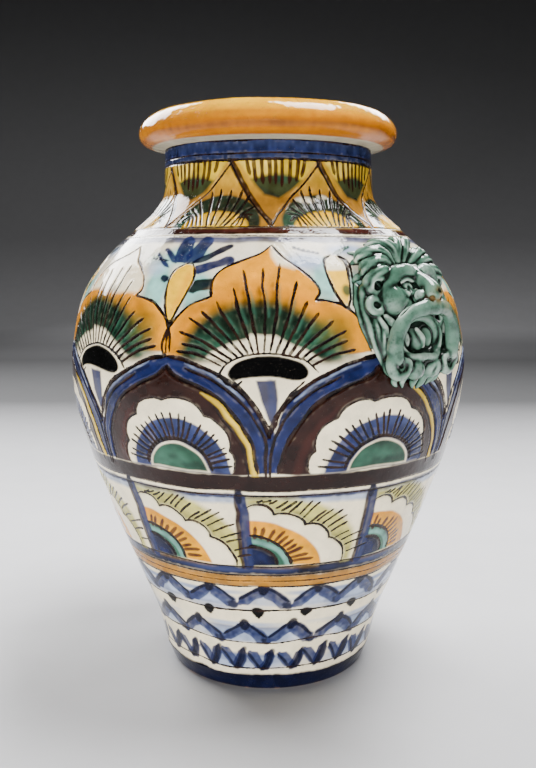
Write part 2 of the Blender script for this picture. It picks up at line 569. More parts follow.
def paint_arch(canvas, turn, half, fan_shift):
    """One pointed arch over a half flower, in the gap below two fans."""
    pen = Pen(canvas, turn, 0.9)
    right = [(across * half, rise) for across, rise in FLANK]
    left = mirrored(right)
    outside = np.vstack([bend_line(left)[::-1], bend_line(right)])
    pen.fill(COBALT, outside, 0.7, 1.0, 0.4)
    for side in (-1, 1):
        middle = [(side * across * half * 0.94, rise - 2.6) for across, rise in FLANK[:-1]]
        pen.brush(MID_BLUE, middle, 1.8, (0.6, 0.8), 0.55, 1.2, 0.7)
    for side in (-1, 1):
        shade = [(side * across * half * 0.96, rise - 3.0) for across, rise in FLANK[1:]]
        pen.brush(NAVY, shade, 1.7, (0.8, 0.9), 0.8, 0.7, 0.6)
        glints = [(side * across * half * 0.97, rise - 1.2) for across, rise in FLANK[1:5]]
        pen.brush(PALE_BLUE, glints, 1.2, (0.4, 0.4), 0.75, 0.8, 0.85)
    inner_right = [(across * half, rise) for across, rise in INNER_FLANK]
    inner_left = mirrored(inner_right)
    inside = np.vstack([bend_line(inner_left)[::-1], bend_line(inner_right)])
    pen.fill(BROWN, inside, 0.7, 1.0, 0.35)
    pen.brush(DULL_YELLOW, moved(inner_right[2:], -0.6, -1.6), 3.2, (0.2, 0.9), 0.95, 0.7, 0.2)
    pen.brush(PALE_YELLOW, moved(inner_right[3:], -0.6, -1.4), 1.4, (0.2, 0.9), 0.7, 1.0, 0.5)
    pen.brush(MAROON, moved(inner_left[3:], 4.5, -3.0), 4.0, (0.3, 0.9), 0.6, 2.0, 0.3)
    cusps = [(-0.61, ARCH_FOOT), (-0.57, 148.0), (-0.41, 162.5), (-0.04, 170.5), (0.38, 163.8),
             (0.61, 148.5), (0.64, ARCH_FOOT)]
    cusps = [(across * half + jitter(0.3), rise + jitter(0.4)) for across, rise in cusps]
    cream = lobes(cusps, (2.2, 3.6, 4.4, 4.4, 4.2, 2.0))
    pen.fill(CREAM, cream, 0.7, 1.0, 0.08)
    pen.cut(cream[1:-1], 0.9, 0.25, 0.45, smooth=False)
    wide = 0.585 * half * ARCH_DEGREE
    low = ARCH_FOOT + 0.5
    middle = (fan_shift, low)
    pen.ellipse(MID_BLUE, middle, wide, 25.5, ARCH_FOOT, 0.8, 1.0, 0.35)
    pen.ellipse(COBALT, (fan_shift - 1.0, low), wide * 0.94, 22.5, ARCH_FOOT, 4.0, 0.7, 0.5)
    rays = 22
    for index in range(rays):
        angle = -1.5 + 3.0 * (index + 0.5) / rays + jitter(0.03)
        reach = 1.02 + (0.07 if angle < 0.25 else 0.0) + jitter(0.035)
        lean = 0.05 * math.sin(angle)
        line = [(fan_shift + wide / ARCH_DEGREE * r * math.sin(angle + lean * (1 - r)),
                 low + 25.5 * r * math.cos(angle)) for r in (0.62, 0.8, reach)]
        pen.cut(line, 1.15, 0.25, 0.3)
    pen.ellipse(CREAM, middle, wide * 0.615, 14.2, ARCH_FOOT, 0.8, 0.85, 0.2)
    arc = [(fan_shift + wide / ARCH_DEGREE * 0.66 * math.sin(a), low + 15.4 * math.cos(a))
           for a in np.linspace(-1.5, 1.5, 13)]
    pen.cut(arc, 1.9, 0.3, 0.3)
    pen.ellipse(LEAF_GREEN * 0.7, (fan_shift, 137.4), wide * 0.575, 12.6, 137.2, 0.8, 1.0, 0.35)
    pen.ellipse(SEA_GREEN * 0.8, (fan_shift - 2.0, 139.0), wide * 0.42, 8.0, 137.6, 4.0, 0.6, 0.4)
    pen.brush(DARK_GREEN, [(fan_shift + 1, 139.6), (fan_shift + 0.27 * half, 140.0)], 3.2, (0.3, 0.9), 0.7, 2)
    for line, width, depth, burr in (
            (right[:-1], 2.0, 0.5, 0.4),
            (left[:-1], 2.0, 0.5, 0.4),
            ([(across * 0.965, rise - 3.4) for across, rise in right[1:]], 1.3, 0.3, 0.4),
            ([(across * 0.955, rise - 3.6) for across, rise in left[2:]], 1.2, 0.3, 0.4),
            (inner_right, 1.8, 0.5, 0.4),
            (inner_left, 1.8, 0.5, 0.4),
            (moved(inner_right[3:], -2.1, -3.0), 0.8, 0.25, 0.3)):
        pen.cut(line, width, depth, burr)


# The rise at the foot of a fan, its cusped outline in four stretches, and where its rays end.
FAN_FOOT = 189.6
UPPER_LEFT = ((-14.6, 217.8), (-15.2, 221.0), (-15.4, 225.0), (-14.6, 228.8), (-12.8, 232.3),
              (-9.6, 235.3), (-4.9, 238.6), (-1.5, 242.4), (1.0, 246.6))
UPPER_RIGHT = ((1.0, 246.6), (3.4, 241.4), (5.6, 237.2), (8.6, 233.4), (11.5, 228.8), (13.2, 223.8),
               (13.6, 220.4), (12.4, 217.2))
LOWER_LEFT = ((-26.0, 190.4), (-26.7, 195.4), (-26.0, 201.0), (-24.6, 205.4), (-22.4, 210.2),
              (-20.0, 214.0), (-17.6, 216.2), (-14.6, 217.8))
LOWER_RIGHT = ((12.4, 217.2), (15.8, 216.4), (19.6, 214.4), (23.4, 208.6), (25.4, 200.4),
               (26.0, 192.4))
RAYS = ((-23.2, 193.0), (-21.8, 196.6), (-22.0, 201.2), (-19.8, 207.8), (-16.6, 211.4),
        (-13.0, 215.4), (-9.2, 222.6), (-6.9, 231.2), (-1.1, 233.0), (3.2, 235.0), (7.8, 226.0),
        (10.3, 216.2), (13.4, 210.8), (17.0, 207.2), (19.6, 202.4), (20.4, 198.0), (22.2, 194.8))


def paint_fan(canvas, turn, tip, pale):
    """One cusped fan: orange petals round a green fan, with incised rays.

    tip moves the point sideways; pale is 1 where only the right of the tip is left cream, and
    0 where the whole upper part is.
    """
    pen = Pen(canvas, turn, 0.9)

    def shift(points):
        """Move points sideways, more the nearer they are to the tip."""
        return [(across + tip * max(0.0, (rise - 212.0) / 34.0), rise) for across, rise in points]

    sides = [bend_line(shift(side)) for side in (LOWER_LEFT, UPPER_LEFT, UPPER_RIGHT, LOWER_RIGHT)]
    pen.fill(ORANGE, np.vstack(sides), 0.7, 1.0, 0.14)
    pen.ellipse(DEEP_ORANGE, (-1.0, 190.0), 44.0, 36.0, 190.0, 8.0, 0.4, 0.3)
    if pale:
        blank = [(0.8, 246.0), (1.2, 239.0), (2.6, 234.6), (7.4, 233.0), (5.6, 237.2), (3.4, 241.4)]
    else:
        blank = [(-14.6, 219.0), (-9.0, 220.0), (2.0, 219.5), (12.6, 219.0), (13.2, 224.0),
                 (11.5, 228.8), (8.6, 233.4), (5.6, 237.2), (1.0, 246.6), (-4.9, 238.6), (-12.8, 232.3)]
    pen.fill(CREAM, shift(blank), 2.6, 0.96, 0.08)
    for colour, middle, half_x, half_y, soft, strength, mottle in (
            (OLIVE, (-1.6, 187.0), 36.6, 30.0, 5.0, 0.75, 0.3),
            (DARK_GREEN, (-2.4, 186.5), 36.0, 28.8, 5.0, 0.97, 0.35),
            (LEAF_GREEN, (12.0, 189.0), 18.0, 17.0, 8.0, 0.8, 0.5),
            (LEAF_GREEN, (-14.0, 189.0), 15.0, 12.0, 8.0, 0.6, 0.5),
            (OLIVE, (16.5, 203.0), 9.0, 8.0, 6.0, 0.6, 0.4)):
        pen.ellipse(colour, middle, half_x, half_y, FAN_FOOT, soft, strength, mottle)
    heart = [(-15.5, FAN_FOOT), (-14.2, 193.0), (-9.0, 197.4), (-5.0, 199.0), (-4.0, 201.4),
             (2.0, 200.8), (6.0, 197.0), (9.4, 194.0), (13.0, FAN_FOOT)]
    pen.fill(CREAM, heart, 1.6, 0.98, 0.1)
    count = len(RAYS)
    for index, (end_turn, end_rise) in enumerate(shift(RAYS)):
        part = 2 * index / (count - 1) - 1
        start = (-0.4 + 10.8 * part, 186.6 + 6.4 * (1 - abs(part) ** 2.2))
        end = (end_turn + jitter(0.4), end_rise + jitter(0.8))
        middle = ((start[0] + end[0]) / 2 + 0.9 * part * (1 - abs(part)),
                  (start[1] + end[1]) / 2 + 1.8 * abs(part))
        run = (end[0] - start[0], end[1] - start[1])
        shade = [(start[0] + run[0] * part_way - 0.9, start[1] + run[1] * part_way)
                 for part_way in (0.4, 0.75)]
        pen.brush(BLACK, shade, 3.0, (0.5, 0.3), 0.75, 1.8, 0.7)
        glint = moved(shade, 1.7, 0.0)
        pen.brush(SEA_GREEN, glint, 1.4, (0.4, 0.4), 0.6, 1.2, 0.7)
        pen.cut([start, middle, end], 1.35, 0.3, 0.3)
    for side in sides:
        pen.cut(side, 1.3, 0.3, 0.45, smooth=False)


def paint_lens(canvas, turn):
    """The black lens at the heart of a fan, and the striped wedge that hangs below it."""
    pen = Pen(canvas, turn, 0.9)
    lens = [(-12.4, 181.6), (-10.2, 187.2), (-6.4, 191.2), (-0.8, 193.0), (4.8, 192.0), (9.0, 189.2),
            (12.0, 183.8), (8.0, 180.4), (0.0, 181.2), (-7.0, 179.6)]
    pen.fill(CREAM, lens, 0.7, 1.0, 0.1, smooth=True)
    pupil = [(-8.6, 180.0), (-9.8, 183.4), (-7.6, 188.2), (-3.6, 191.2), (0.6, 192.0), (5.0, 190.8),
             (8.4, 187.8), (9.6, 183.4), (7.4, 180.6), (0.0, 182.2), (-6.0, 181.4)]
    pen.fill(BLACK, pupil, 0.6, 1.0, 0.0, smooth=True)
    pen.cut(lens[:7], 1.1, 0.3, 0.4)
    pen.cut([(-11.6, 182.0), (-9.8, 178.8), (-7.6, 178.6), (-6.2, 180.4)], 0.9, 0.2, 0.3)
    wedge = [(-7.0, 179.4), (-2.0, 181.4), (4.0, 181.0), (7.4, 178.6), (4.4, 171.0), (1.6, 157.0),
             (-2.2, 169.0)]
    pen.fill(CREAM, wedge, 0.7, 1.0, 0.08)
    stripe = [(-2.6, 180.6), (2.2, 180.6), (2.4, 172.0), (1.8, 158.0), (0.2, 163.0), (-1.4, 171.0)]
    pen.fill(COBALT, stripe, 0.8, 0.95, 0.3)
    pen.brush(MID_BLUE, [(0.8, 180.0), (1.0, 172.0), (1.5, 163.0)], 3.0, (1.0, 0.3), 0.6, 1.2, 0.5)
    pen.cut([(8.6, 180.0), (4.6, 172.6), (1.8, 160.0)], 1.0, 0.3, 0.4)
    pen.cut([(-8.4, 180.4), (-3.4, 171.0), (0.8, 158.0)], 0.9, 0.3, 0.4)


def paint_leaf(pen, colour, points, width):
    """A pressed leaf stroke, dark where the brush was lifted."""
    pen.brush(colour, points, width, (0.3, 0.9), 1.0, 0.7, 0.06)
    pen.brush(NAVY, points[-2:], width * 0.45, (0.4, 0.9), 0.5, 1.6, 0.4)


def paint_leafy_bud(canvas, turn):
    """A yellow bud with a spray of blue leaves, between two fans."""
    pen = Pen(canvas, turn, 0.8)
    for middle, wide, high, strength in (
            ((-7.0, 222.0), 7.0, 15.0, 1.0),
            ((6.6, 218.0), 7.0, 13.0, 1.0),
            ((0.0, 241.0), 12.0, 6.0, 0.9),
            ((-9.0, 238.0), 9.0, 5.0, 0.6)):
        pen.ellipse(TURQUOISE, middle, wide, high, -1e9, 5.0, strength, 0.2)
    pen.ellipse(PALE_BLUE, (-9.6, 233.0), 6.0, 5.0, -1e9, 4.0, 0.6, 0.2)
    for colour, points, width in (
            (COBALT, [(0.0, 237.0), (-1.8, 242.0), (-3.0, 249.0)], 7.6),
            (COBALT, [(1.0, 237.0), (3.0, 242.0), (4.4, 249.6)], 7.4),
            (NAVY, [(2.4, 236.0), (7.4, 240.6), (13.4, 245.6)], 3.8),
            (COBALT, [(3.0, 231.4), (8.0, 234.4), (14.0, 237.0)], 5.4),
            (BLACK, [(3.4, 221.0), (6.4, 223.6), (12.2, 225.0)], 6.4),
            (COBALT, [(-3.0, 236.4), (-6.0, 240.6), (-9.4, 244.6)], 2.6),
            (COBALT, [(-5.0, 233.6), (-8.4, 237.4), (-12.0, 241.8)], 2.2),
            (NAVY, [(-4.0, 226.0), (-5.6, 227.4)], 4.2),
            (NAVY, [(-6.0, 237.6), (-12.6, 238.4)], 1.4)):
        paint_leaf(pen, colour, points, width)
    bud = [(0.4, 235.8), (-2.6, 232.0), (-3.6, 225.4), (-3.0, 217.0), (-1.2, 208.0), (0.0, 206.2),
           (1.6, 212.0), (3.4, 221.0), (4.4, 228.6), (3.4, 234.0)]
    pen.fill(YELLOW, bud, 0.7, 1.0, 0.12, smooth=True)
    pen.brush(ORANGE, [(2.6, 231.0), (2.0, 221.0), (0.4, 211.0)], 3.6, (0.5, 0.5), 0.6, 2.6, 0.2)
    pen.fill(DULL_YELLOW, [(-2.0, 207.6), (2.4, 207.4), (0.8, 201.0), (-0.2, 196.0), (-1.2, 202.0)], 1.0, 0.8)
    outline = bend_line(np.array(bud))
    pen.cut(outline, 1.2, 0.3, 0.35, smooth=False)
    pen.cut([(3.4, 234.0), (2.4, 236.0), (0.4, 235.8)], 0.9, 0.25, 0.3)
    pen.cut([(0.0, 207.0), (-0.4, 200.0), (-0.2, 190.6)], 1.0, 0.3, 0.4)


def paint_plain_bud(canvas, turn):
    """A bud with a white cap and a beaded sprig, between two fans."""
    pen = Pen(canvas, turn, 0.8)
    for middle, wide, high, colour in (
            ((-4.6, 226.0), 6.0, 13.0, TURQUOISE),
            ((5.0, 221.0), 5.0, 9.0, TURQUOISE),
            ((-9.0, 237.0), 9.0, 5.0, PALE_BLUE),
            ((5.6, 243.6), 10.0, 4.0, PALE_BLUE)):
        pen.ellipse(colour, middle, wide, high, -1e9, 5.0, 0.95, 0.2)
    bud = [(-0.6, 240.4), (-3.0, 237.0), (-3.2, 230.0), (-2.2, 221.0), (0.4, 213.6), (1.8, 216.0),
           (2.6, 223.0), (3.6, 230.6), (3.6, 236.0), (1.8, 239.6)]
    pen.fill(CREAM, bud, 0.7, 1.0, 0.05, smooth=True)
    pen.fill(YELLOW, [(-3.0, 231.6), (3.4, 231.6), (2.4, 222.0), (1.2, 214.6), (0.0, 214.8), (-2.0, 221.0)],
             1.4, 0.95, 0.12)
    pen.ellipse(LEAF_GREEN, (1.4, 221.4), 2.4, 3.0, -1e9, 1.6, 0.9, 0.3)
    pen.cut(bend_line(np.array(bud)), 1.4, 0.3, 0.35, smooth=False)
    pen.cut([(1.8, 240.0), (4.4, 236.6), (4.6, 230.0), (3.4, 221.0), (2.4, 214.0)], 1.3, 0.3, 0.35)
    pen.brush(NAVY, [(-11.6, 245.0), (-8.2, 243.0), (-4.2, 241.6)], 1.2, (1, 0.6), 0.95, 0.5, 0.2)
    for step in range(6):
        at = (-11.4 + step * 1.4, 245.0 - step * 0.66)
        pen.ellipse(NAVY, at, 0.9, 0.8, -1e9, 0.5, 0.95, 0.0)
    paint_leaf(pen, LEAF_GREEN, [(0.6, 241.0), (3.4, 243.0), (6.4, 245.4)], 2.2)
    pen.cut([(1.0, 214.0), (4.4, 206.0), (6.4, 198.0)], 1.0, 0.3, 0.4)


def paint_shoulder_lines(canvas):
    """The lines and bands at the foot of the neck."""
    ring(canvas, 248.4, 252.6, MID_BLUE, 1.6, 0.85, 0.8, 0.5)
    ring(canvas, 250.6, 253.0, COBALT, 1.6, 0.6, 0.6, 0.5)
    ring(canvas, 254.6, 259.4, MAROON, 0.9, 1.0, 0.4, 0.3)
    ring(canvas, 254.6, 256.4, BROWN, 1.2, 0.8, 0.5, 0.4)
    ring_line(canvas, 259.6, 0.8, 0.25, 0.4, 0.3)
    ring_line(canvas, 253.3, 0.6, 0.2, 0.5, 0.2)


# The rises between which the neck's zigzag is painted.
ZIGZAG_FOOT = 259.6
ZIGZAG_TOP = 298.4


def paint_hanging_fan(canvas, turn):
    """A yellow and green fan of brown strokes that hangs from the top of the neck."""
    pen = Pen(canvas, turn, 0.5)
    for colour, points, soft, strength, mottle in (
            (DULL_YELLOW, [(-20.0, ZIGZAG_TOP), (21.5, ZIGZAG_TOP), (12.0, 288.0), (2.0, 280.0),
                           (-11.0, 287.5)], 1.0, 1.0, 0.2),
            (PALE_YELLOW, [(-18.0, ZIGZAG_TOP), (2.0, ZIGZAG_TOP), (-4.0, 291.0), (-11.0, 290.5)],
             3.0, 0.7, 0.2),
            (DARK_GREEN, [(-12.5, 289.0), (-4.0, 291.0), (8.0, 290.4), (13.0, 288.6), (7.0, 282.6),
                          (1.0, 278.8), (-6.0, 281.0)], 1.8, 0.95, 0.35),
            (LEAF_GREEN, [(-2.0, 291.6), (6.0, 291.6), (5.0, 287.0), (-1.0, 287.0)], 2.4, 0.6, 0.3)):
        pen.fill(colour, points, soft, strength, mottle)
    for step in range(9):
        across = -15.0 + 3.7 * step + jitter(0.5)
        low = 285.5 + 0.028 * across**2 + jitter(1.2)
        stroke = [(across, 298.2), (across * 0.95, (298 + low) / 2), (across * 0.88, low)]
        pen.brush(MAROON * 0.5, stroke, 1.9, (1.0, 0.5), 1.0, 0.4, 0.15)


def paint_standing_fan(canvas, turn, capped):
    """A green and yellow fan of incised rays that stands at the foot of the neck."""
    pen = Pen(canvas, turn, 0.5)
    pen.ellipse(DARK_GREEN, (0.0, 258.0), 23.0, 23.4, ZIGZAG_FOOT, 1.4, 0.97, 0.35)
    pen.ellipse(LEAF_GREEN, (-12.0, 259.0), 8.0, 14.0, ZIGZAG_FOOT, 4.0, 0.7, 0.4)
    if capped:
        pen.ellipse(CREAM, (-6.0, 278.4), 5.0, 1.8, -1e9, 1.4, 0.9, 0.3)
        pen.ellipse(CREAM, (3.0, 280.0), 3.0, 1.2, -1e9, 1.2, 0.8, 0.3)
    pen.ellipse(YELLOW, (0.0, 258.0), 17.5, 13.0, ZIGZAG_FOOT, 1.6, 1.0, 0.15)
    pen.ellipse(PALE_YELLOW, (0.0, 258.0), 11.0, 9.0, ZIGZAG_FOOT, 4.0, 0.6, 0.15)
    for step in range(12):
        angle = -1.22 + 0.222 * step + jitter(0.03)
        reach = 14.5 + 12.0 * math.cos(angle * 1.15) + jitter(1.4)
        foot = -0.1 + 11.0 * angle / 1.22
        tip = reach * 0.98 * math.sin(angle)
        ray = [(foot, 260.4), (foot + (tip - foot) * 0.42, 266.5 + 3 * math.cos(angle)),
               (tip, 259.0 + reach * math.cos(angle))]
        pen.cut(ray, 1.25, 0.3, 0.55)


def paint_zigzag(canvas, turn):
    """One angle of the zigzag: a brown flank with an incised edge, and an incised line opposite."""
    pen = Pen(canvas, turn, 0.5)
    flank = [(-0.4, 297.6), (4.5, 290.0), (9.4, 281.4), (14.4, 273.0), (18.4, 265.0), (19.8, 260.0)]
    pen.brush(BROWN, flank, 3.0, (0.9, 0.5), 0.97, 0.5, 0.1)
    edge = [(-0.8, 297.6), (3.6, 290.0), (8.4, 281.4), (13.4, 273.0), (17.6, 265.0), (19.2, 260.0)]
    pen.cut(edge, 0.8, 0.3, 0.6)
    pen.cut([(0.6, 297.4), (-8.0, 288.0), (-16.0, 279.0), (-22.0, 270.0), (-25.2, 260.4)], 1.0, 0.3, 0.5)


def paint_neck(canvas):
    """The zigzag round the neck, with fans standing and hanging in its angles."""
    ring(canvas, ZIGZAG_FOOT, 298.6, OCHRE, 0.7, 1.0, 0.3, 0.2)
    ring(canvas, 284.0, 298.6, DULL_YELLOW, 9.0, 0.35, 0.3, 0.3)
    for index in range(8):
        turn = -18.2 + 45.0 * index + jitter(0.8)
        paint_hanging_fan(canvas, turn + 22.5)
        paint_standing_fan(canvas, turn - 2.8, index % 2)
        paint_zigzag(canvas, turn)
    ring(canvas, ZIGZAG_TOP, 309.0, MID_BLUE * 0.55, 0.8, 1.0, 0.3, 0.35)
    ring(canvas, 301.6, 304.0, COBALT, 1.6, 0.55, 0.5, 0.5)
    ring_line(canvas, ZIGZAG_TOP, 1.3, 0.25, 0.3, 0.3)
    ring_line(canvas, 301.4, 0.8, 0.25, 0.3, 0.3)
    ring_line(canvas, 307.4, 0.7, 0.2, 0.3, 0.2)


# Places round the wall: fans as (turn, shift of the tip, 1 for a painted tip or 0 for a cream one).
FANS = ((0.0, 0.0, 1), (56.5, 4.0, 0), (106.0, 0.0, 1), (155.0, -1.5, 0), (204.0, 0.0, 1),
        (259.5, 2.0, 1), (309.5, 0.5, 0))
# Gaps between fans that hold a leafy bud, and those that hold a plain one, with its offset.
LEAFY_GAPS = (1, 3, 6)
PLAIN_GAPS = {0: -8.4, 2: 0.0, 5: 0.0}
# The panels' turns.
PANELS = (-43.5, -7.0, 32.0, 72.6, 113.2, 153.8, 194.4, 235.0, 275.8)


def paint_wall():
    """Paint the whole wall."""
    canvas = Canvas()
    ring(canvas, 200.0, 249.0, PALE_BLUE, 14.0, 0.2, 0.5, 0.5)
    paint_foot_bands(canvas)
    paint_panel_bands(canvas)
    for turn in PANELS:
        paint_panel(canvas, turn)
    places = [turn for turn, _, _ in FANS] + [360.0]
    gaps = [((start + end) / 2, (end - start) / 2) for start, end in zip(places, places[1:])]
    for index, (middle, _) in enumerate(gaps):
        if index in LEAFY_GAPS:
            paint_leafy_bud(canvas, middle)
        elif index in PLAIN_GAPS:
            paint_plain_bud(canvas, middle + PLAIN_GAPS[index])
    for turn, tip, pale in FANS:
        paint_fan(canvas, turn, tip, pale)
    for index, (middle, half) in enumerate(gaps):
        flower_shift = 3.0 if index == 0 else 1.4
        paint_arch(canvas, middle, half, flower_shift)
    for turn, _, _ in FANS:
        paint_lens(canvas, turn)
    ring(canvas, 127.4, 135.2, BROWN * 0.65, 0.9, 1.0, 0.4, 0.3)
    paint_shoulder_lines(canvas)
    paint_neck(canvas)
    return canvas


# Meshes ---------------------------------------------------------------------------

# The inside of the wall: (height, radius).
INSIDE = (
    (13.0, 46.0), (20.0, 50.5), (30.0, 55.4), (50.0, 64.0), (73.3, 73.9), (90.0, 80.1),
    (110.0, 87.2), (BELLY_SEAM, 92.1), (145.0, 97.6), (168.0, 100.0), (190.0, 97.2),
    (202.0, 93.1), (214.0, 86.6), (227.0, 76.5), (237.5, 65.7), (250.0, 54.6), (262.0, 48.9),
    (272.0, 48.3), (THROAT_TOP, 48.1),
)
INSIDE_STEP = 2.4

# Wall pieces: (name, CAD node, lowest and highest rise, lengths that its UV sheet is cut into).
FOOT_RISE = WALL_SHAPE.rise(FOOT_TOP)
PANEL_RISE = 77.8
SEAM_RISE = WALL_SHAPE.rise(BELLY_SEAM)
FAN_RISE = 190.0
NECK_RISE = WALL_SHAPE.rise(NECK_SEAM)
BANDS = (
    ("chevron_band", "lower_wall", FOOT_RISE, PANEL_RISE, 3),
    ("panel_band", "lower_wall", PANEL_RISE, SEAM_RISE, 3),
    ("arch_band", "belly_wall", SEAM_RISE, FAN_RISE, 3),
    ("fan_band", "belly_wall", FAN_RISE, NECK_RISE, 3),
    ("neck_band", "neck_collar", NECK_RISE, WALL_SHAPE.top, 2),
)


def around(turn):
    """Directions round the axis, as x and y, for turns in degrees."""
    angle = np.radians(turn - MASK_TURN)
    return np.cos(angle), np.sin(angle)


def surface(turns, heights, radii, lift=0.0, outward=(1.0, 0.0)):
    """Points at (height, radius) rows by turn columns, lifted along the outward direction."""
    across, deep = around(turns)
    radius = radii + lift * outward[0]
    height = heights + lift * outward[1]
    ones = np.ones_like(across)
    return np.stack([radius * across, radius * deep, height * ones], axis=-1)


def grid_normals(points, closed_rows=False):
    """Unit normals of a grid of points that goes once round; columns run to the right."""
    along = np.roll(points, -1, axis=1) - np.roll(points, 1, axis=1)
    if closed_rows:
        up = np.roll(points, -1, axis=0) - np.roll(points, 1, axis=0)
    else:
        up = np.gradient(points, axis=0)
    normal = np.cross(along, up)
    return normal / (np.linalg.norm(normal, axis=-1, keepdims=True) + 1e-12)


def make_mesh(name, points, quads, normals=None, uv=None, layers=()):
    """A mesh from arrays, with points in mm; layers are (name, kind, values)."""
    mesh = bpy.data.meshes.new(name)
    mesh.vertices.add(len(points))
    mesh.vertices.foreach_set("co", (points * MM).astype(np.float32).ravel())
    mesh.loops.add(quads.size)
    mesh.loops.foreach_set("vertex_index", quads.astype(np.int32).ravel())
    mesh.polygons.add(len(quads))
    sides = quads.shape[1]
    mesh.polygons.foreach_set("loop_start", np.arange(0, quads.size, sides, dtype=np.int32))
    mesh.update(calc_edges=True)
    mesh.shade_smooth()
    for layer, kind, values in layers:
        data = mesh.attributes.new(layer, kind, "POINT").data
        if kind == "FLOAT_COLOR":
            values = np.concatenate([values, np.ones((len(values), 1))], axis=1)
            data.foreach_set("color", values.astype(np.float32).ravel())
        else:
            data.foreach_set("value", values.astype(np.float32).ravel())
    if uv is not None:
        mesh.uv_layers.new(name="OFBake").data.foreach_set("uv", uv.astype(np.float32).ravel())
    if normals is not None:
        mesh.normals_split_custom_set_from_vertices(normals.astype(np.float32))
    piece = bpy.data.objects.new(name, mesh)
    bpy.context.collection.objects.link(piece)
    return piece


def fold_uv(rows, columns, folds, shares):
    """UVs of a ring, unrolled, cut into equal lengths and stacked.

    shares says how much of the sheet's height each group of rows takes: (rows, share).
    """
    edges = np.zeros(rows + 1)
    total = sum(share for _, share in shares)
    row = 0
    for count, share in shares:
        edges[row : row + count + 1] = edges[row] + np.arange(count + 1) / count * share / total
        row += count
    gap = 0.012
    width = columns // folds
    column = np.arange(columns)
    strip = np.minimum(column // width, folds - 1)
    left = (column - strip * width) / (columns - (folds - 1) * width)
    right = (column + 1 - strip * width) / (columns - (folds - 1) * width)
    low = (strip + edges[:-1, None]) / folds
    high = (strip + edges[1:, None]) / folds
    corners = np.zeros((rows, columns, 4, 2))
    for index, (side, end) in enumerate(((left, low), (right, low), (right, high), (left, high))):
        corners[:, :, index, 0] = gap + (1 - 2 * gap) * side
        within = end * folds - strip
        corners[:, :, index, 1] = (strip + gap + (1 - 2 * gap) * within) / folds
    return corners


def ring_piece(name, points, normals, layers, folds, shares):
    """A closed ring from a grid of points whose rows go once round its section."""
    rows, columns = points.shape[:2]
    index = np.arange(rows * columns).reshape(rows, columns)
    right = np.roll(index, -1, axis=1)
    above = np.roll(index, -1, axis=0)
    above_right = np.roll(right, -1, axis=0)
    quads = np.stack([index, right, above_right, above], axis=-1).reshape(-1, 4)
    uv = fold_uv(rows, columns, folds, shares).reshape(-1, 2)
    flat = [(layer, kind, values.reshape(rows * columns, -1).squeeze()) for layer, kind, values in layers]
    return make_mesh(name, points.reshape(-1, 3), quads, normals.reshape(-1, 3), uv, flat)


def throwing(heights, columns, size=0.1):
    """The faint rings that a potter's fingers leave, as a lift in mm."""
    heights = np.asarray(heights)[:, None]
    turn = np.arange(columns)[None, :] / columns
    rings = np.sin(heights / 2.1 + math.tau * turn) + 0.6 * np.sin(heights / 3.7 + 1.0)
    return size * rings


def build_wall(canvas, glaze):
    """The wall as closed rings, painted and incised outside and plain white inside."""
    columns = len(canvas.turns)
    rises = canvas.rises
    normal_r, normal_z = WALL_SHAPE.outward(rises)
    lift = canvas.relief + 0.35 * canvas.noises[30.0] + 0.06 * canvas.noises[12.0]
    fade = np.clip(np.minimum(rises, rises[-1] - rises) / 6.0, 0.0, 1.0)[:, None]
    lift = lift * fade + 0.3 * throwing(rises, columns, 0.1) * fade
    outer = surface(canvas.turns[None, :], WALL_SHAPE.height(rises)[:, None],
                    WALL_SHAPE.radius(rises)[:, None], lift, (normal_r[:, None], normal_z[:, None]))
    outer_normals = grid_normals(outer)
    inner_curve = smooth_curve([z for z, _ in INSIDE], [r for _, r in INSIDE])
    pieces = []
    for name, node, low, high, folds in BANDS:
        start = int(round(low / ROW_STEP))
        stop = min(int(round(high / ROW_STEP)), len(rises) - 1)
        shell = outer[start : stop + 1]
        top = float(WALL_SHAPE.height(rises[stop]))
        base = float(WALL_SHAPE.height(rises[start]))
        floor = max(base, INSIDE[0][0])
        count = max(4, round((top - floor) / INSIDE_STEP))
        heights = np.linspace(top, floor, count)
        radii = inner_curve(heights)
        if name == "chevron_band":
            heights = np.append(heights, base)
            radii = np.append(radii, INSIDE[0][1])
            count += 1
        inner = surface(canvas.turns[None, :], heights[:, None], radii[:, None],
                        throwing(heights, columns, 0.16))
        inner_normals = grid_normals(inner)
        points = np.concatenate([shell, inner])
        normals = np.concatenate([outer_normals[start : stop + 1], inner_normals])
        paint = np.concatenate([canvas.paint[start : stop + 1], np.ones(inner.shape) * CREAM])
        line = np.concatenate([canvas.line[start : stop + 1], np.full(inner.shape[:2], 3.0)])
        layers = (("paint", "FLOAT_COLOR", paint), ("line", "FLOAT", line))
        shares = ((stop - start, 0.76), (1, 0.02), (count - 1, 0.2), (1, 0.02))
        piece = ring_piece(name, points, normals, layers, folds, shares)
        pieces.append((piece, node, "painted_tin_glaze"))
        piece.data.materials.append(glaze)
    return pieces


def revolve(outline, turns):
    """Points of a closed section of (radius, height) points, by turn columns."""
    across, deep = around(turns)
    return np.stack([outline[:, :1] * across, outline[:, :1] * deep,
                     outline[:, 1:] * np.ones(len(turns))], axis=-1)


def section_ring(name, outline, columns, colours, glaze, folds, lift=0.0):
    """A closed ring from a closed section of (radius, height) points, with colours by row."""
    outline = np.asarray(outline, dtype=float)
    points = revolve(outline, np.arange(columns) * 360.0 / columns)
    normals = grid_normals(points, closed_rows=True)
    points = points + normals * np.asarray(lift)[..., None]
    normals = grid_normals(points, closed_rows=True)
    line = np.full(points.shape[:2], 3.0)
    layers = (("paint", "FLOAT_COLOR", colours), ("line", "FLOAT", line))
    piece = ring_piece(name, points, normals, layers, folds, ((len(outline), 1.0),))
    piece.data.materials.append(glaze)
    return piece


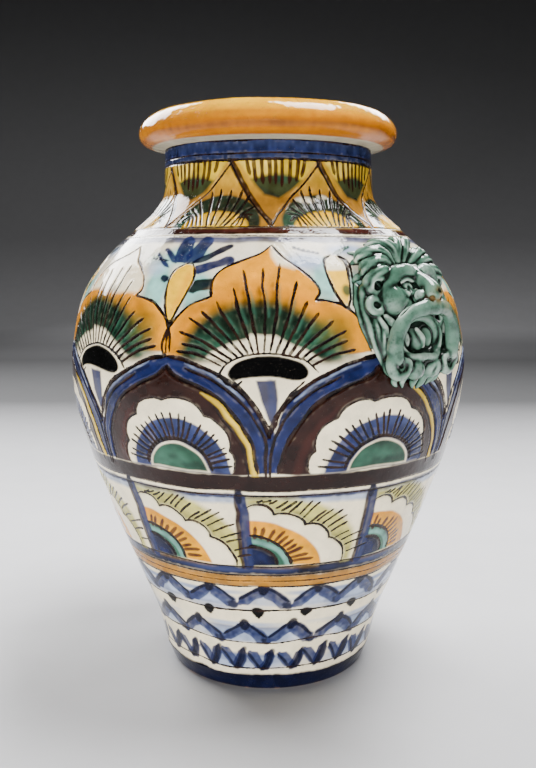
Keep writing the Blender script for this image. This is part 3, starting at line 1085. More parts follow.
def spaced(points, step, closed=True):
    """The same outline with points at even distances."""
    points = np.asarray(points, dtype=float)
    if closed:
        points = np.vstack([points, points[:1]])
    lengths = np.concatenate([[0.0], np.cumsum(np.hypot(*np.diff(points, axis=0).T))])
    count = max(3, round(lengths[-1] / step))
    at = np.linspace(0.0, lengths[-1], count + 1)
    line = np.stack([np.interp(at, lengths, points[:, 0]), np.interp(at, lengths, points[:, 1])], -1)
    return line[:-1] if closed else line


def mix(base, colour, amount):
    """Blend a colour into an array of colours."""
    return base * (1 - amount[..., None]) + colour * amount[..., None]


def build_rim(glaze):
    """The rolled rim: ochre over the top, worn brown beneath its edge and cream under it."""
    columns = 900
    outer = bend_line([(55.6, THROAT_TOP), (59.0, 282.7), (62.4, 283.4), (65.6, 284.6), (67.9, 286.4),
                       (69.0, 289.0), (68.8, 292.0), (67.2, 295.2), (64.4, 298.0), (60.8, 300.1),
                       (56.8, 300.9), (53.0, 300.0), (50.2, 297.6), (48.6, 294.0), (48.1, 289.0),
                       (48.1, THROAT_TOP)], 6)
    section = np.vstack([spaced(outer, 0.6, closed=False), [(51.8, THROAT_TOP)]])
    rows = len(section)
    radius = section[:, :1] * np.ones(columns)
    height = section[:, 1:] * np.ones(columns)
    fine = grid_noise((rows, columns), (8, 160), (False, True))
    broad = grid_noise((rows, columns), (6, 26), (False, True))
    streak = grid_noise((rows, columns), (3, 240), (False, True))
    colours = np.ones((rows, columns, 3)) * ORANGE * (0.80, 0.80, 0.2)
    crown = np.clip((height - 293.5) / 4.0, 0.0, 1.0)
    colours = mix(colours, YELLOW, crown * np.clip(0.5 + 0.35 * broad + 0.12 * fine, 0.0, 0.8))
    trail = grid_noise((rows, columns), (26, 9), (False, True))
    side = np.clip((295.0 - height) / 5.0, 0.0, 1.0)
    runs = np.clip(0.85 * side + 0.15 * fine + 0.4 * trail, 0.0, 0.9)
    colours = mix(colours, DEEP_ORANGE, runs * (1 - 0.6 * crown))
    worn = np.exp(-(((height - 287.6 + 0.5 * broad) / 1.7) ** 2)) * np.clip((radius - 65.0) / 1.2, 0.0, 1.0)
    colours = mix(colours, MAROON, np.clip(worn * (0.25 + 0.6 * trail + 0.15 * streak), 0.0, 0.6))
    below = np.clip((62.8 - radius + 0.5 * broad) / 1.2, 0.0, 1.0) * (height < 286.5)
    colours = mix(colours, CREAM * 0.62, below)
    inside = np.clip((291.0 - height + 1.2 * broad) / 4.0, 0.0, 1.0) * (radius < 52.0)
    colours = mix(colours, CREAM, inside)
    lift = 0.25 * broad + 0.05 * fine
    ends = np.clip((height - THROAT_TOP) / 3.0, 0.0, 1.0)
    return section_ring("rim_roll_glazed", section, columns, colours, glaze, 3, lift * ends)


def build_foot(canvas, glaze):
    """The foot: navy glaze outside, bare clay where it stands."""
    columns = len(canvas.turns)
    count = int(round(FOOT_RISE / ROW_STEP))
    rises = canvas.rises[: count + 1]
    inner = [(46.0, FOOT_TOP), (46.0, 6.0), (46.0, 3.0), (46.0, 1.0), (46.6, 0.15), (49.0, 0.0),
             (52.0, 0.0)]
    radius = WALL_SHAPE.radius(rises) - 0.6 * np.exp(-rises / 0.8)
    outer = np.stack([radius, WALL_SHAPE.height(rises)], axis=-1)
    outline = np.vstack([[(54.6, 0.0)], outer[1:], inner])
    inner_count = len(inner)
    points = revolve(outline, canvas.turns)
    normals = grid_normals(points, closed_rows=True)
    clay = np.ones((inner_count, columns, 3)) * CLAY
    paint = np.concatenate([canvas.paint[: count + 1], clay])
    ragged = canvas.rises[: count + 1, None] < 0.3 + 0.3 * canvas.noises[5.0][: count + 1]
    paint[: count + 1][ragged] = CLAY * 0.8
    line = np.full(paint.shape[:2], 3.0)
    layers = (("paint", "FLOAT_COLOR", paint), ("line", "FLOAT", line))
    shares = ((len(outer), 0.5), (inner_count, 0.5))
    piece = ring_piece("foot_ring_glazed", points, normals, layers, 3, shares)
    piece.data.materials.append(glaze)
    return piece


def build_floor(glaze):
    """The floor: bare clay with a cut-off spiral below, white glaze with throwing rings above."""
    columns, rings = 360, 92
    low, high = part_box("floor_disc")
    under, over = low[2] / MM, high[2] / MM
    reach = high[0] / MM
    radii = np.linspace(0.05, reach, rings)
    outline = np.vstack([np.stack([radii, np.full(rings, under)], -1),
                         np.stack([radii[::-1], np.full(rings, over)], -1)])
    turns = np.arange(columns) / columns
    wave = np.sin(math.tau * (outline[:, :1] / 3.0 + turns))
    edge = np.clip(np.minimum(outline[:, :1], reach - outline[:, :1]) / 4.0, 0.0, 1.0)
    lift = 0.14 * wave * edge
    colours = np.ones((len(outline), columns, 3)) * CLAY
    colours[rings:] = CREAM
    grain = grid_noise((len(outline), columns), (60, 90), (False, True))
    colours[:rings] *= 1.0 + 0.12 * grain[:rings, :, None]
    return section_ring("floor_thrown", outline, columns, colours, glaze, 2, lift)


# Lion masks -----------------------------------------------------------------------
#
# A mask is modelled as a solid in (across, up, out) mm from the middle of its face, where
# across and up are measured along the wall.  Clay is added and taken away as a distance
# field, which is turned into a mesh and wrapped onto the wall.

# The rise of the face's middle, the block of clay's corners, its grain, and how far out the
# mask's back lies, which is a little inside the wall.
FACE_RISE = 215.5
MASK_LOW = (-31.0, -43.0, -3.4)
MASK_HIGH = (31.0, 34.0, 21.0)
CLAY_STEP = 0.42
SUNK = -1.3


class Clay:
    """A block of clay as a distance field, negative inside."""

    def __init__(self):
        self.axes = [np.arange(low, high, CLAY_STEP) for low, high in zip(MASK_LOW, MASK_HIGH)]
        self.field = np.full([len(axis) for axis in self.axes], 9.0)

    def window(self, low, high, margin):
        """The part of the block round a shape, and its coordinates."""
        parts = []
        for axis, start, end in zip(self.axes, low, high):
            first = max(0, int((start - margin - axis[0]) / CLAY_STEP))
            last = min(len(axis), int((end + margin - axis[0]) / CLAY_STEP) + 2)
            parts.append(slice(first, max(first + 1, last)))
        spots = np.meshgrid(*[axis[part] for axis, part in zip(self.axes, parts)],
                            indexing="ij", sparse=True)
        return tuple(parts), spots

    def join(self, part, distance, blend):
        """Add a shape to a part of the block, with a rounded inner corner."""
        field = self.field[part]
        near = np.maximum(blend - np.abs(field - distance), 0.0) / blend
        self.field[part] = np.minimum(field, distance) - near * near * blend / 4

    def carve(self, part, distance, blend):
        """Take a shape away from a part of the block, with a rounded edge."""
        field = self.field[part]
        near = np.maximum(blend - np.abs(field + distance), 0.0) / blend
        self.field[part] = np.maximum(field, -distance) + near * near * blend / 4

    def pellet(self, middle, half, blend=1.2, tilt=0.0, take=False):
        """Add or take away an ellipsoid, turned by a tilt in degrees within the wall."""
        reach = max(half[0], half[1])
        low = [middle[0] - reach, middle[1] - reach, middle[2] - half[2]]
        high = [middle[0] + reach, middle[1] + reach, middle[2] + half[2]]
        part, (across, up, out) = self.window(low, high, blend + 1.5)
        angle = math.radians(tilt)
        x = (across - middle[0]) * math.cos(angle) + (up - middle[1]) * math.sin(angle)
        y = (up - middle[1]) * math.cos(angle) - (across - middle[0]) * math.sin(angle)
        z = out - middle[2]
        scaled = np.sqrt((x / half[0]) ** 2 + (y / half[1]) ** 2 + (z / half[2]) ** 2) + 1e-6
        slope = np.sqrt((x / half[0] ** 2) ** 2 + (y / half[1] ** 2) ** 2 + (z / half[2] ** 2) ** 2)
        distance = scaled * (scaled - 1) / (slope + 1e-6)
        (self.carve if take else self.join)(part, distance, blend)

    def roll(self, points, radii, blend=0.8, take=False):
        """Add or take away a tapered roll of clay along a smooth path."""
        path = bend_line(points, 6)
        sizes = np.interp(np.linspace(0, 1, len(path)), np.linspace(0, 1, len(radii)), radii)
        widest = max(radii)
        part, (across, up, out) = self.window(path.min(axis=0), path.max(axis=0), widest + blend + 1.0)
        best = None
        for start, end, radius_a, radius_b in zip(path, path[1:], sizes, sizes[1:]):
            run = end - start
            along = (across - start[0]) * run[0] + (up - start[1]) * run[1] + (out - start[2]) * run[2]
            along = np.clip(along / (run @ run + 1e-9), 0.0, 1.0)
            away = np.sqrt((across - start[0] - along * run[0]) ** 2 + (up - start[1] - along * run[1]) ** 2
                           + (out - start[2] - along * run[2]) ** 2)
            away = away - radius_a - along * (radius_b - radius_a)
            best = away if best is None else np.minimum(best, away)
        (self.carve if take else self.join)(part, best, blend)


class Half:
    """One side of the mask, where clay is placed by its distance from the middle line."""

    def __init__(self, clay, side):
        self.clay = clay
        self.side = side

    def pellet(self, middle, half, blend=1.2, tilt=0.0, take=False):
        """An ellipsoid on this side, added or taken away."""
        across, up, out = middle
        self.clay.pellet((self.side * across, up, out), half, blend, self.side * tilt, take)

    def roll(self, points, radii, blend=0.8, take=False):
        """A tapered roll on this side, added or taken away."""
        path = [(self.side * across, up, out) for across, up, out in points]
        self.clay.roll(path, radii, blend, take)


def model_face(half):
    """Cheek, eye, brow, nostril and ears on one side of the face."""
    half.pellet((12.6, -1.6, 4.6), (6.6, 6.8, 7.2), 1.6)
    half.pellet((9.0, -4.0, 6.6), (4.6, 3.6, 4.4), 1.6)
    half.roll([(1.4, 6.8, 11.4), (5.0, 8.6, 11.8), (9.6, 8.2, 10.8), (14.0, 4.6, 8.2),
               (15.8, 1.2, 6.6)], (2.2, 3.0, 3.1, 2.6, 1.5), 1.0)
    half.pellet((6.0, 2.6, 11.8), (4.2, 3.0, 3.6), 1.0, -12.0, take=True)
    half.pellet((6.0, 2.0, 8.6), (2.9, 2.6, 2.7), 0.5)
    half.pellet((6.1, 1.8, 11.5), (1.0, 1.0, 1.4), 0.3, take=True)
    half.roll([(2.6, 0.6, 10.8), (5.6, -0.9, 11.0), (8.8, 0.0, 10.4), (10.6, 2.0, 9.2)],
              (0.9, 1.1, 1.1, 0.8), 0.6)
    half.roll([(3.2, 4.4, 11.0), (6.2, 5.2, 11.2), (9.4, 3.8, 10.0)], (0.7, 0.9, 0.7), 0.5)
    half.pellet((4.2, -2.6, 13.6), (3.0, 2.6, 3.4), 0.8)
    half.roll([(4.4, 0.8, 13.2), (6.8, -1.6, 12.4), (7.0, -4.4, 12.6)], (0.4, 0.7, 0.5), 0.4, take=True)
    half.roll([(6.4, -1.0, 11.2), (8.2, -4.4, 11.4), (13.6, -8.4, 9.6), (17.0, -11.0, 7.0)],
              (0.6, 0.9, 0.9, 0.6), 0.6, take=True)
    half.pellet((20.4, 4.6, 2.2), (4.6, 4.2, 5.0), 1.2)
    half.pellet((21.4, -3.6, 2.0), (4.4, 4.4, 4.8), 1.2)
    for spot, reach in (((19.6, 4.4), 1.0), ((21.6, -3.4), 1.1)):
        ring = [(spot[0] + 3.2 * reach * math.cos(a), spot[1] + 2.9 * reach * math.sin(a), 4.6)
                for a in np.linspace(-2.6, 2.8, 8)]
        half.roll(ring, (1.3, 1.7, 1.7, 1.1), 0.5)
        half.pellet((*spot, 6.6), (2.0, 1.7, 3.4), 0.6, take=True)
    half.roll([(18.2, -8.4, 5.4), (16.6, -11.0, 6.4), (13.8, -13.4, 6.6)], (1.1, 1.7, 1.3), 0.4)
    half.roll([(21.4, -8.6, 4.4), (19.4, -13.0, 5.2), (18.8, -17.0, 4.8)], (1.2, 1.5, 0.9), 0.4)


def model_jowl(half):
    """Curls at the end of the lip, and the locks of the beard on one side."""
    half.pellet((15.2, -29.8, 3.6), (6.2, 5.8, 5.8), 1.0)
    curl = [(18.6, -24.6, 8.6), (20.2, -29.4, 7.6), (17.6, -33.8, 6.8), (12.8, -33.4, 7.4),
            (11.2, -29.6, 8.2), (14.0, -27.6, 8.6)]
    half.roll(curl, (2.7, 2.5, 2.3, 2.1, 1.9, 1.4), 0.5)
    half.pellet((15.6, -30.4, 9.6), (1.2, 1.0, 2.2), 0.4, take=True)
    half.pellet((12.6, -26.2, 9.6), (1.0, 0.9, 1.6), 0.4, take=True)
    half.pellet((5.4, -31.6, 4.4), (5.2, 5.4, 5.4), 0.7)
    half.roll([(2.6, -28.0, 8.8), (4.6, -31.0, 10.2), (3.4, -34.4, 8.4)], (0.4, 0.6, 0.4), 0.5, take=True)
    half.roll([(8.6, -33.6, 3.6), (9.6, -37.0, 1.6), (8.0, -40.4, -0.4)], (2.0, 1.8, 1.1), 0.5)
    half.roll([(3.2, -35.4, 3.4), (3.0, -38.6, 1.4), (1.4, -41.4, -0.6)], (1.9, 1.7, 1.0), 0.5)
    half.roll([(14.6, -34.0, 2.8), (14.0, -37.4, 0.8), (11.4, -39.8, -0.6)], (1.7, 1.5, 0.9), 0.5)


def model_mouth(clay):
    """The open mouth with its rolled lip, tongue, curls and chin."""
    clay.pellet((0.0, -18.0, 1.0), (19.0, 15.0, 9.0), 1.5)
    clay.pellet((0.0, -18.0, 11.0), (13.6, 9.4, 12.0), 1.0, take=True)
    clay.roll([(-9.6, -24.4, 3.2), (-11.4, -17.6, 4.4), (-7.2, -11.4, 5.6), (0.0, -9.6, 6.2),
               (7.2, -11.4, 5.6), (11.4, -17.6, 4.4), (9.6, -24.4, 3.2)], (1.4, 2.0, 1.7, 2.0, 1.4), 0.5)
    clay.pellet((-1.2, -19.2, 1.6), (3.6, 6.0, 4.8), 0.6, 14.0)
    clay.roll([(-2.8, -14.4, 6.2), (-0.6, -18.6, 7.0), (1.2, -22.6, 5.4)], (0.8, 1.4, 0.9), 0.5)
    clay.pellet((7.0, -18.4, 2.2), (2.6, 5.0, 3.6), 0.6)
    clay.pellet((-6.6, -18.8, 1.8), (2.0, 4.2, 3.2), 0.6)
    lip = [(-17.8, -27.0, 8.2), (-18.4, -21.4, 9.4), (-16.6, -14.8, 11.4), (-11.6, -9.2, 13.4),
           (-4.6, -7.0, 15.2), (0.8, -7.0, 15.8), (6.2, -7.6, 15.2), (12.0, -10.0, 13.2),
           (16.6, -15.2, 11.2), (18.2, -21.4, 9.4), (17.6, -27.0, 8.2)]
    clay.roll(lip, (3.4, 3.6, 3.2, 2.9, 3.3, 3.7, 3.3, 2.9, 3.2, 3.6, 3.4), 0.7)
    groove = [(across * 0.985, up + 3.3, out + 0.6) for across, up, out in lip[2:9]]
    clay.roll(groove, (0.7, 1.1, 1.1, 0.7), 0.6, take=True)
    for side in (-1, 1):
        model_jowl(Half(clay, side))
    clay.roll([(-10.6, -26.0, 6.2), (-5.0, -27.6, 7.6), (0.0, -27.2, 7.8), (5.0, -27.6, 7.6),
               (10.6, -26.0, 6.2)], (1.4, 2.1, 1.6, 2.1, 1.4), 0.6)


def model_hair(half):
    """The strands that hang beside the face, and the flat edge of the hair."""
    half.roll([(21.0, 9.0, 2.4), (25.2, 2.0, 2.0), (26.2, -7.0, 1.6), (23.8, -18.0, 1.8),
               (20.6, -29.0, 1.6)], (1.6, 2.2, 2.0, 1.9, 1.1), 0.5)
    half.roll([(22.6, -8.6, 2.8), (22.0, -17.0, 3.4), (19.8, -26.0, 3.0)], (1.5, 1.7, 1.1), 0.4)
    half.roll([(25.6, 8.0, 0.4), (28.6, -1.0, 0.2), (28.0, -11.0, 0.2), (25.0, -21.0, 0.2)],
              (1.2, 1.7, 1.5, 0.8), 0.5)
    half.roll([(20.0, -13.0, 4.8), (20.6, -19.0, 5.0), (20.2, -24.0, 4.4)], (0.9, 1.1, 0.8), 0.4)


def model_mane(clay):
    """The fan of swept locks over the brow: four strands on a thick roll, and a tuft beside it."""
    for index in range(9):
        lean = math.radians(-90.0 + 22.5 * index + 4.0 * math.sin(2.3 * index))
        out_x, out_y = math.sin(lean), math.cos(lean)
        curl = math.copysign(1.0, out_x) if abs(out_x) > 0.05 else 1.0
        length = 1.0 + 0.06 * math.sin(4.1 * index)

        def spot(reach, swing, out):
            """A place on this lock: how far along it, how far to its side, and out."""
            x = reach * out_x + swing * curl * out_y
            y = reach * out_y - swing * curl * out_x
            return (x * 1.12, 9.0 + y, out)

        root = spot(8.0, -1.5, 6.0)
        clay.roll([root, spot(12.4, -1.2, 7.8), spot(16.6 * length, 0.0, 7.6), spot(19.8 * length, 2.2, 5.4),
                   spot(20.0 * length, 4.6, 3.0)], (1.8, 2.6, 3.0, 2.6, 1.4), 0.5)
        for away in (-3.0, -1.0, 1.0, 3.0):
            high = 1.2 - 0.14 * away * away
            clay.roll([spot(8.8, -1.6 + 0.45 * away, 6.6 + high), spot(12.6, -1.2 + 0.7 * away, 8.8 + high),
                       spot((16.6 + 0.2 * away) * length, 0.95 * away, 8.7 + high),
                       spot((19.4 + 0.2 * away) * length, 2.2 + 0.95 * away, 6.2 + high),
                       spot(20.2 * length, 4.4 + 0.6 * away, 3.6)], (0.7, 1.15, 1.3, 1.2, 0.7), 0.22)
        clay.roll([spot(17.0, -3.6, 1.6), spot(21.0, -2.6, 0.8), spot(24.0 * length, -0.6, -0.2)],
                  (1.7, 1.6, 0.8), 0.5)
    for side in (-1, 1):
        Half(clay, side).roll([(2.4, 12.0, 8.0), (5.4, 12.6, 8.4), (9.6, 11.6, 7.8)], (0.8, 1.1, 0.8), 0.5)


def model_mask():
    """The whole mask as a distance field."""
    clay = Clay()
    clay.pellet((0.0, -4.0, -8.0), (27.5, 37.0, 13.4), 1.0)
    clay.pellet((0.0, 1.0, 0.0), (17.5, 14.0, 8.6), 2.0)
    clay.pellet((0.0, 9.0, 1.0), (15.0, 9.0, 7.0), 2.0)
    model_mane(clay)
    for side in (-1, 1):
        model_hair(Half(clay, side))
    model_mouth(clay)
    for side in (-1, 1):
        model_face(Half(clay, side))
    nose = [(0.0, 8.4, 10.8), (0.0, 5.0, 12.6), (0.2, 1.6, 14.8), (0.4, -1.4, 16.8)]
    clay.roll(nose, (2.3, 2.4, 3.0, 3.9), 1.0)
    clay.pellet((0.4, -2.2, 17.4), (4.4, 3.2, 3.4), 0.8)
    for side in (-1, 1):
        Half(clay, side).pellet((2.3, -4.4, 18.4), (1.2, 1.1, 1.6), 0.4, take=True)
    for furrow in ([(-2.6, 10.2, 11.0), (-1.6, 6.8, 13.2)], [(2.4, 10.4, 11.0), (1.5, 6.8, 13.2)]):
        clay.roll(furrow, (0.4, 0.5), 0.5, take=True)
    across, up, out = np.meshgrid(*clay.axes, indexing="ij", sparse=True)
    wave = np.sin(0.43 * across + 0.31 * up + 1.0) * np.sin(0.37 * up - 0.29 * out + 0.5)
    clay.field += 0.22 * wave
    return clay


def soften(values, reach):
    """A box blur of a grid, with a reach in cells each way."""
    for axis in range(3):
        ends = [(0, 0)] * 3
        ends[axis] = (reach + 1, reach)
        total = np.cumsum(np.pad(values, ends, mode="edge"), axis=axis)
        size = 2 * reach + 1
        high = np.take(total, np.arange(size, total.shape[axis]), axis=axis)
        low = np.take(total, np.arange(0, total.shape[axis] - size), axis=axis)
        values = (high - low) / size
    return values


def surface_net(field):
    """A quad mesh of the zero surface of a field, in cell coordinates."""
    shape = np.array(field.shape) - 1
    total = np.zeros((*shape, 3))
    count = np.zeros(shape)
    inside = field < 0
    for axis in range(3):
        others = [i for i in range(3) if i != axis]
        for first in (0, 1):
            for second in (0, 1):
                offset = [0, 0, 0]
                offset[others[0]], offset[others[1]] = first, second
                start = tuple(slice(o, o + size) for o, size in zip(offset, shape))
                offset[axis] = 1
                end = tuple(slice(o, o + size) for o, size in zip(offset, shape))
                crosses = inside[start] != inside[end]
                part = np.where(crosses, field[start] / (field[start] - field[end] + 1e-12), 0.0)
                total[..., axis] += part
                total[..., others[0]] += first * crosses
                total[..., others[1]] += second * crosses
                count += crosses
    used = count > 0
    index = np.full(shape, -1)
    index[used] = np.arange(used.sum())
    points = np.argwhere(used) + total[used] / count[used][:, None]
    quads = []
    for axis in range(3):
        others = [i for i in range(3) if i != axis]
        body = [slice(1, -1)] * 3
        body[axis] = slice(0, -1)
        ahead = list(body)
        ahead[axis] = slice(1, None)
        start, end = inside[tuple(body)], inside[tuple(ahead)]
        spots = np.argwhere(start != end)
        falls = start[start != end]
        spots[:, others[0]] += 1
        spots[:, others[1]] += 1
        corners = []
        for first, second in ((1, 1), (0, 1), (0, 0), (1, 0)):
            cell = spots.copy()
            cell[:, others[0]] -= first
            cell[:, others[1]] -= second
            corners.append(index[tuple(cell.T)])
        quad = np.stack(corners, axis=-1)
        flip = falls if axis != 1 else ~falls
        quad[~flip] = quad[~flip][:, ::-1]
        quads.append(quad)
    return points, np.vstack(quads)


def sample(grid, cells):
    """Values of a grid at cell coordinates, blended from the eight points round each."""
    low = np.clip(np.floor(cells).astype(int), 0, np.array(grid.shape) - 2)
    part = cells - low
    total = np.zeros(len(cells))
    for corner in np.ndindex(2, 2, 2):
        share = np.prod(np.where(corner, part, 1 - part), axis=1)
        total += share * grid[tuple((low + corner).T)]
    return total


def wrap_on_wall(places, facing):
    """Points of the vase for (across, up, out) places on the mask that faces a direction."""
    across, up, out = places.T
    rise = FACE_RISE + up
    radius = WALL_SHAPE.radius(rise)
    normal_r, normal_z = WALL_SHAPE.outward(rise)
    angle = math.radians(facing) + across / radius
    reach = radius + out * normal_r
    return np.stack([reach * np.cos(angle), reach * np.sin(angle),
                     WALL_SHAPE.height(rise) + out * normal_z], axis=-1)


def build_masks(glaze):
    """Both masks, each one piece that stands for all the CAD solids of that mask."""
    clay = model_mask()
    heights = clay.axes[2][None, None, :]
    solid = np.clip(0.5 - np.minimum(clay.field, heights) / CLAY_STEP, 0.0, 1.0)
    close = soften(soften(solid, 2), 2)
    wide = soften(soften(solid, 6), 5)
    field = np.maximum(soften(clay.field, 1), SUNK - heights)
    cells, quads = surface_net(field)
    places = cells * CLAY_STEP + np.array(MASK_LOW)
    flat = places[:, 2] < SUNK + 0.3
    stain = np.exp(-np.sum(((places - (1.6, -3.6, 17.0)) / (3.4, 2.6, 5.0)) ** 2, axis=1))
    stain += np.exp(-np.sum(((places - (7.6, -6.4, 15.0)) / (3.6, 2.8, 5.0)) ** 2, axis=1))
    layers = (("cavity", "FLOAT", sample(close, cells)), ("hollow", "FLOAT", sample(wide, cells)),
              ("out", "FLOAT", places[:, 2]), ("stain", "FLOAT", stain))
    corner_places = places[quads.ravel()]
    span = np.array(MASK_HIGH) - np.array(MASK_LOW)
    uv = (corner_places[:, :2] - np.array(MASK_LOW)[:2]) / span[:2]
    under = np.repeat(flat[quads].all(axis=1), 4)
    uv[:, 1] = np.where(under, uv[:, 1] * 0.06, 0.09 + uv[:, 1] * 0.9)
    uv[:, 0] = 0.01 + 0.98 * uv[:, 0]
    pieces = []
    for side, facing in (("mask_right", 0.0), ("mask_left", 180.0)):
        piece = make_mesh(side + "_relief", wrap_on_wall(places, facing), quads, None, uv, layers)
        piece.data.materials.append(glaze)
        nodes = [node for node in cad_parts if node.startswith(side)]
        pieces.append((piece, nodes, "green_mask_glaze"))
    return pieces


# Materials ------------------------------------------------------------------------


class Nodes:
    """A small helper that adds shader nodes and joins them."""

    def __init__(self, name):
        self.material = bpy.data.materials.new(name)
        self.material.use_nodes = True
        self.tree = self.material.node_tree
        self.shader = self.tree.nodes["Principled BSDF"]

    def add(self, kind, **settings):
        """A new node, with its settings."""
        node = self.tree.nodes.new(kind)
        for key, value in settings.items():
            setattr(node, key, value)
        return node

    def put(self, socket, value):
        """Join a socket to another, or set it to a constant."""
        if isinstance(value, bpy.types.NodeSocket):
            self.tree.links.new(value, socket)
        else:
            socket.default_value = value

    def attribute(self, name, output):
        """A value that the mesh carries."""
        return self.add("ShaderNodeAttribute", attribute_name=name).outputs[output]

    def place(self):
        """The place on the object, in metres."""
        return self.add("ShaderNodeTexCoord").outputs["Object"]

    def noise(self, scale, detail=2.0, rough=0.5):
        """Noise from about 0 to 1, with this many features to a metre."""
        node = self.add("ShaderNodeTexNoise")
        self.put(node.inputs["Vector"], self.place())
        node.inputs["Scale"].default_value = scale
        node.inputs["Detail"].default_value = detail
        node.inputs["Roughness"].default_value = rough
        return node.outputs["Fac"]

    def maths(self, operation, *values):
        """The result of a maths node."""
        node = self.add("ShaderNodeMath", operation=operation)
        for socket, value in zip(node.inputs, values):
            self.put(socket, value)
        return node.outputs[0]

    def ramp(self, value, low, high, bottom=0.0, top=1.0):
        """A smooth step from bottom, where the value is low, to top, where it is high."""
        node = self.add("ShaderNodeMapRange", interpolation_type="SMOOTHSTEP")
        self.put(node.inputs["Value"], value)
        for key, number in (("From Min", low), ("From Max", high), ("To Min", bottom), ("To Max", top)):
            node.inputs[key].default_value = number
        return node.outputs["Result"]

    def blend(self, amount, first, second, kind="MIX"):
        """The first colour blended into the second by an amount."""
        node = self.add("ShaderNodeMix", data_type="RGBA", blend_type=kind)
        self.put(node.inputs["Factor"], amount)
        self.put([s for s in node.inputs if s.name == "A" and s.type == "RGBA"][0], first)
        self.put([s for s in node.inputs if s.name == "B" and s.type == "RGBA"][0], second)
        return [s for s in node.outputs if s.type == "RGBA"][0]

    def coat(self, colour, amount, strength, tint):
        """A colour with a tint laid over it, as strong as the amount times the strength."""
        return self.blend(self.maths("MULTIPLY", amount, strength), colour, tint)

    def finish(self, colour, roughness, height, depth, ior=1.32):
        """Wire up the shader; depth in metres is the height map's full range."""
        self.put(self.shader.inputs["Base Color"], colour)
        self.put(self.shader.inputs["Roughness"], roughness)
        self.shader.inputs["IOR"].default_value = ior
        bump = self.add("ShaderNodeBump")
        bump.inputs["Distance"].default_value = depth
        self.put(bump.inputs["Height"], height)
        self.put(self.shader.inputs["Normal"], bump.outputs["Normal"])
        return self.material


def painted_glaze():
    """Glossy tin glaze that takes its colours and incised lines from the mesh."""
    nodes = Nodes("painted_tin_glaze")
    paint = nodes.attribute("paint", "Color")
    cloud = nodes.ramp(nodes.noise(90.0, 4.0, 0.6), 0.3, 0.7, 0.9, 1.06)
    shade = nodes.blend(1.0, paint, cloud, "MULTIPLY")
    pores = nodes.ramp(nodes.noise(1400.0, 2.0, 0.5), 0.69, 0.74)
    shade = nodes.coat(shade, pores, 0.35, (0.12, 0.09, 0.06, 1.0))
    cells = nodes.add("ShaderNodeTexVoronoi", feature="DISTANCE_TO_EDGE")
    nodes.put(cells.inputs["Vector"], nodes.place())
    cells.inputs["Scale"].default_value = 260.0
    craze = nodes.ramp(cells.outputs["Distance"], 0.01, 0.03, 0.07, 0.0)
    patchy = nodes.ramp(nodes.noise(24.0, 2.0), 0.45, 0.6)
    shade = nodes.coat(shade, craze, patchy, (0.0, 0.0, 0.0, 1.0))
    ragged = nodes.maths("MULTIPLY_ADD", nodes.noise(700.0, 3.0, 0.6), 0.7, -0.35)
    edge = nodes.maths("ADD", nodes.attribute("line", "Fac"), ragged)
    ink = nodes.ramp(edge, -0.14, 0.14, 1.0, 0.0)
    worn = nodes.ramp(nodes.noise(260.0, 3.0, 0.6), 0.3, 0.5, 0.8, 1.0)
    ink_colour = nodes.blend(nodes.ramp(nodes.noise(150.0), 0.4, 0.65), INK, (0.02, 0.009, 0.006, 1.0))
    shade = nodes.coat(shade, ink, worn, ink_colour)
    roughness = nodes.ramp(nodes.noise(160.0, 3.0, 0.6), 0.3, 0.7, 0.04, 0.11)
    roughness = nodes.maths("MULTIPLY_ADD", ink, 0.18, roughness)
    pits = nodes.maths("MULTIPLY", pores, -0.3)
    waves = nodes.maths("MULTIPLY_ADD", nodes.noise(120.0, 3.0, 0.55), 1.0, pits)
    return nodes.finish(shade, roughness, waves, 0.0004)


def mask_glaze():
    """Glossy green glaze that runs thin on the high places and pools dark in the hollows."""
    nodes = Nodes("green_mask_glaze")
    drift = nodes.maths("MULTIPLY_ADD", nodes.noise(140.0, 3.0, 0.6), 0.16, -0.08)
    cavity = nodes.maths("ADD", nodes.attribute("cavity", "Fac"), drift)
    hollow = nodes.maths("ADD", nodes.attribute("hollow", "Fac"), drift)
    pale = nodes.blend(nodes.ramp(nodes.noise(70.0, 3.0), 0.4, 0.6),
                       (0.10, 0.20, 0.14, 1.0), (0.36, 0.45, 0.38, 1.0))
    green = nodes.blend(nodes.ramp(nodes.noise(110.0, 2.0), 0.4, 0.6),
                        (0.035, 0.09, 0.06, 1.0), (0.075, 0.155, 0.11, 1.0))
    colour = nodes.blend(nodes.ramp(cavity, 0.37, 0.49), pale, green)
    colour = nodes.blend(nodes.ramp(hollow, 0.49, 0.66), colour, (0.012, 0.03, 0.02, 1.0))
    colour = nodes.blend(nodes.ramp(cavity, 0.455, 0.55), colour, (0.005, 0.009, 0.006, 1.0))
    thin = nodes.ramp(cavity, 0.42, 0.3)
    colour = nodes.coat(colour, thin, 0.75, (0.58, 0.63, 0.55, 1.0))
    blotches = nodes.ramp(nodes.noise(200.0, 3.0), 0.35, 0.6)
    stain = nodes.maths("MULTIPLY", nodes.attribute("stain", "Fac"), blotches)
    colour = nodes.coat(colour, stain, 0.8, (0.42, 0.24, 0.07, 1.0))
    pools = nodes.ramp(nodes.noise(230.0, 3.0, 0.6), 0.56, 0.66)
    colour = nodes.coat(colour, pools, 0.6, (0.02, 0.055, 0.035, 1.0))
    specks = nodes.ramp(nodes.noise(900.0, 2.0), 0.66, 0.72)
    colour = nodes.coat(colour, specks, 0.5, (0.04, 0.05, 0.035, 1.0))
    roughness = nodes.ramp(nodes.noise(150.0, 3.0), 0.3, 0.7, 0.05, 0.14)
    return nodes.finish(colour, roughness, nodes.noise(130.0, 2.0, 0.5), 0.0003, 1.5)


# Scene ----------------------------------------------------------------------------


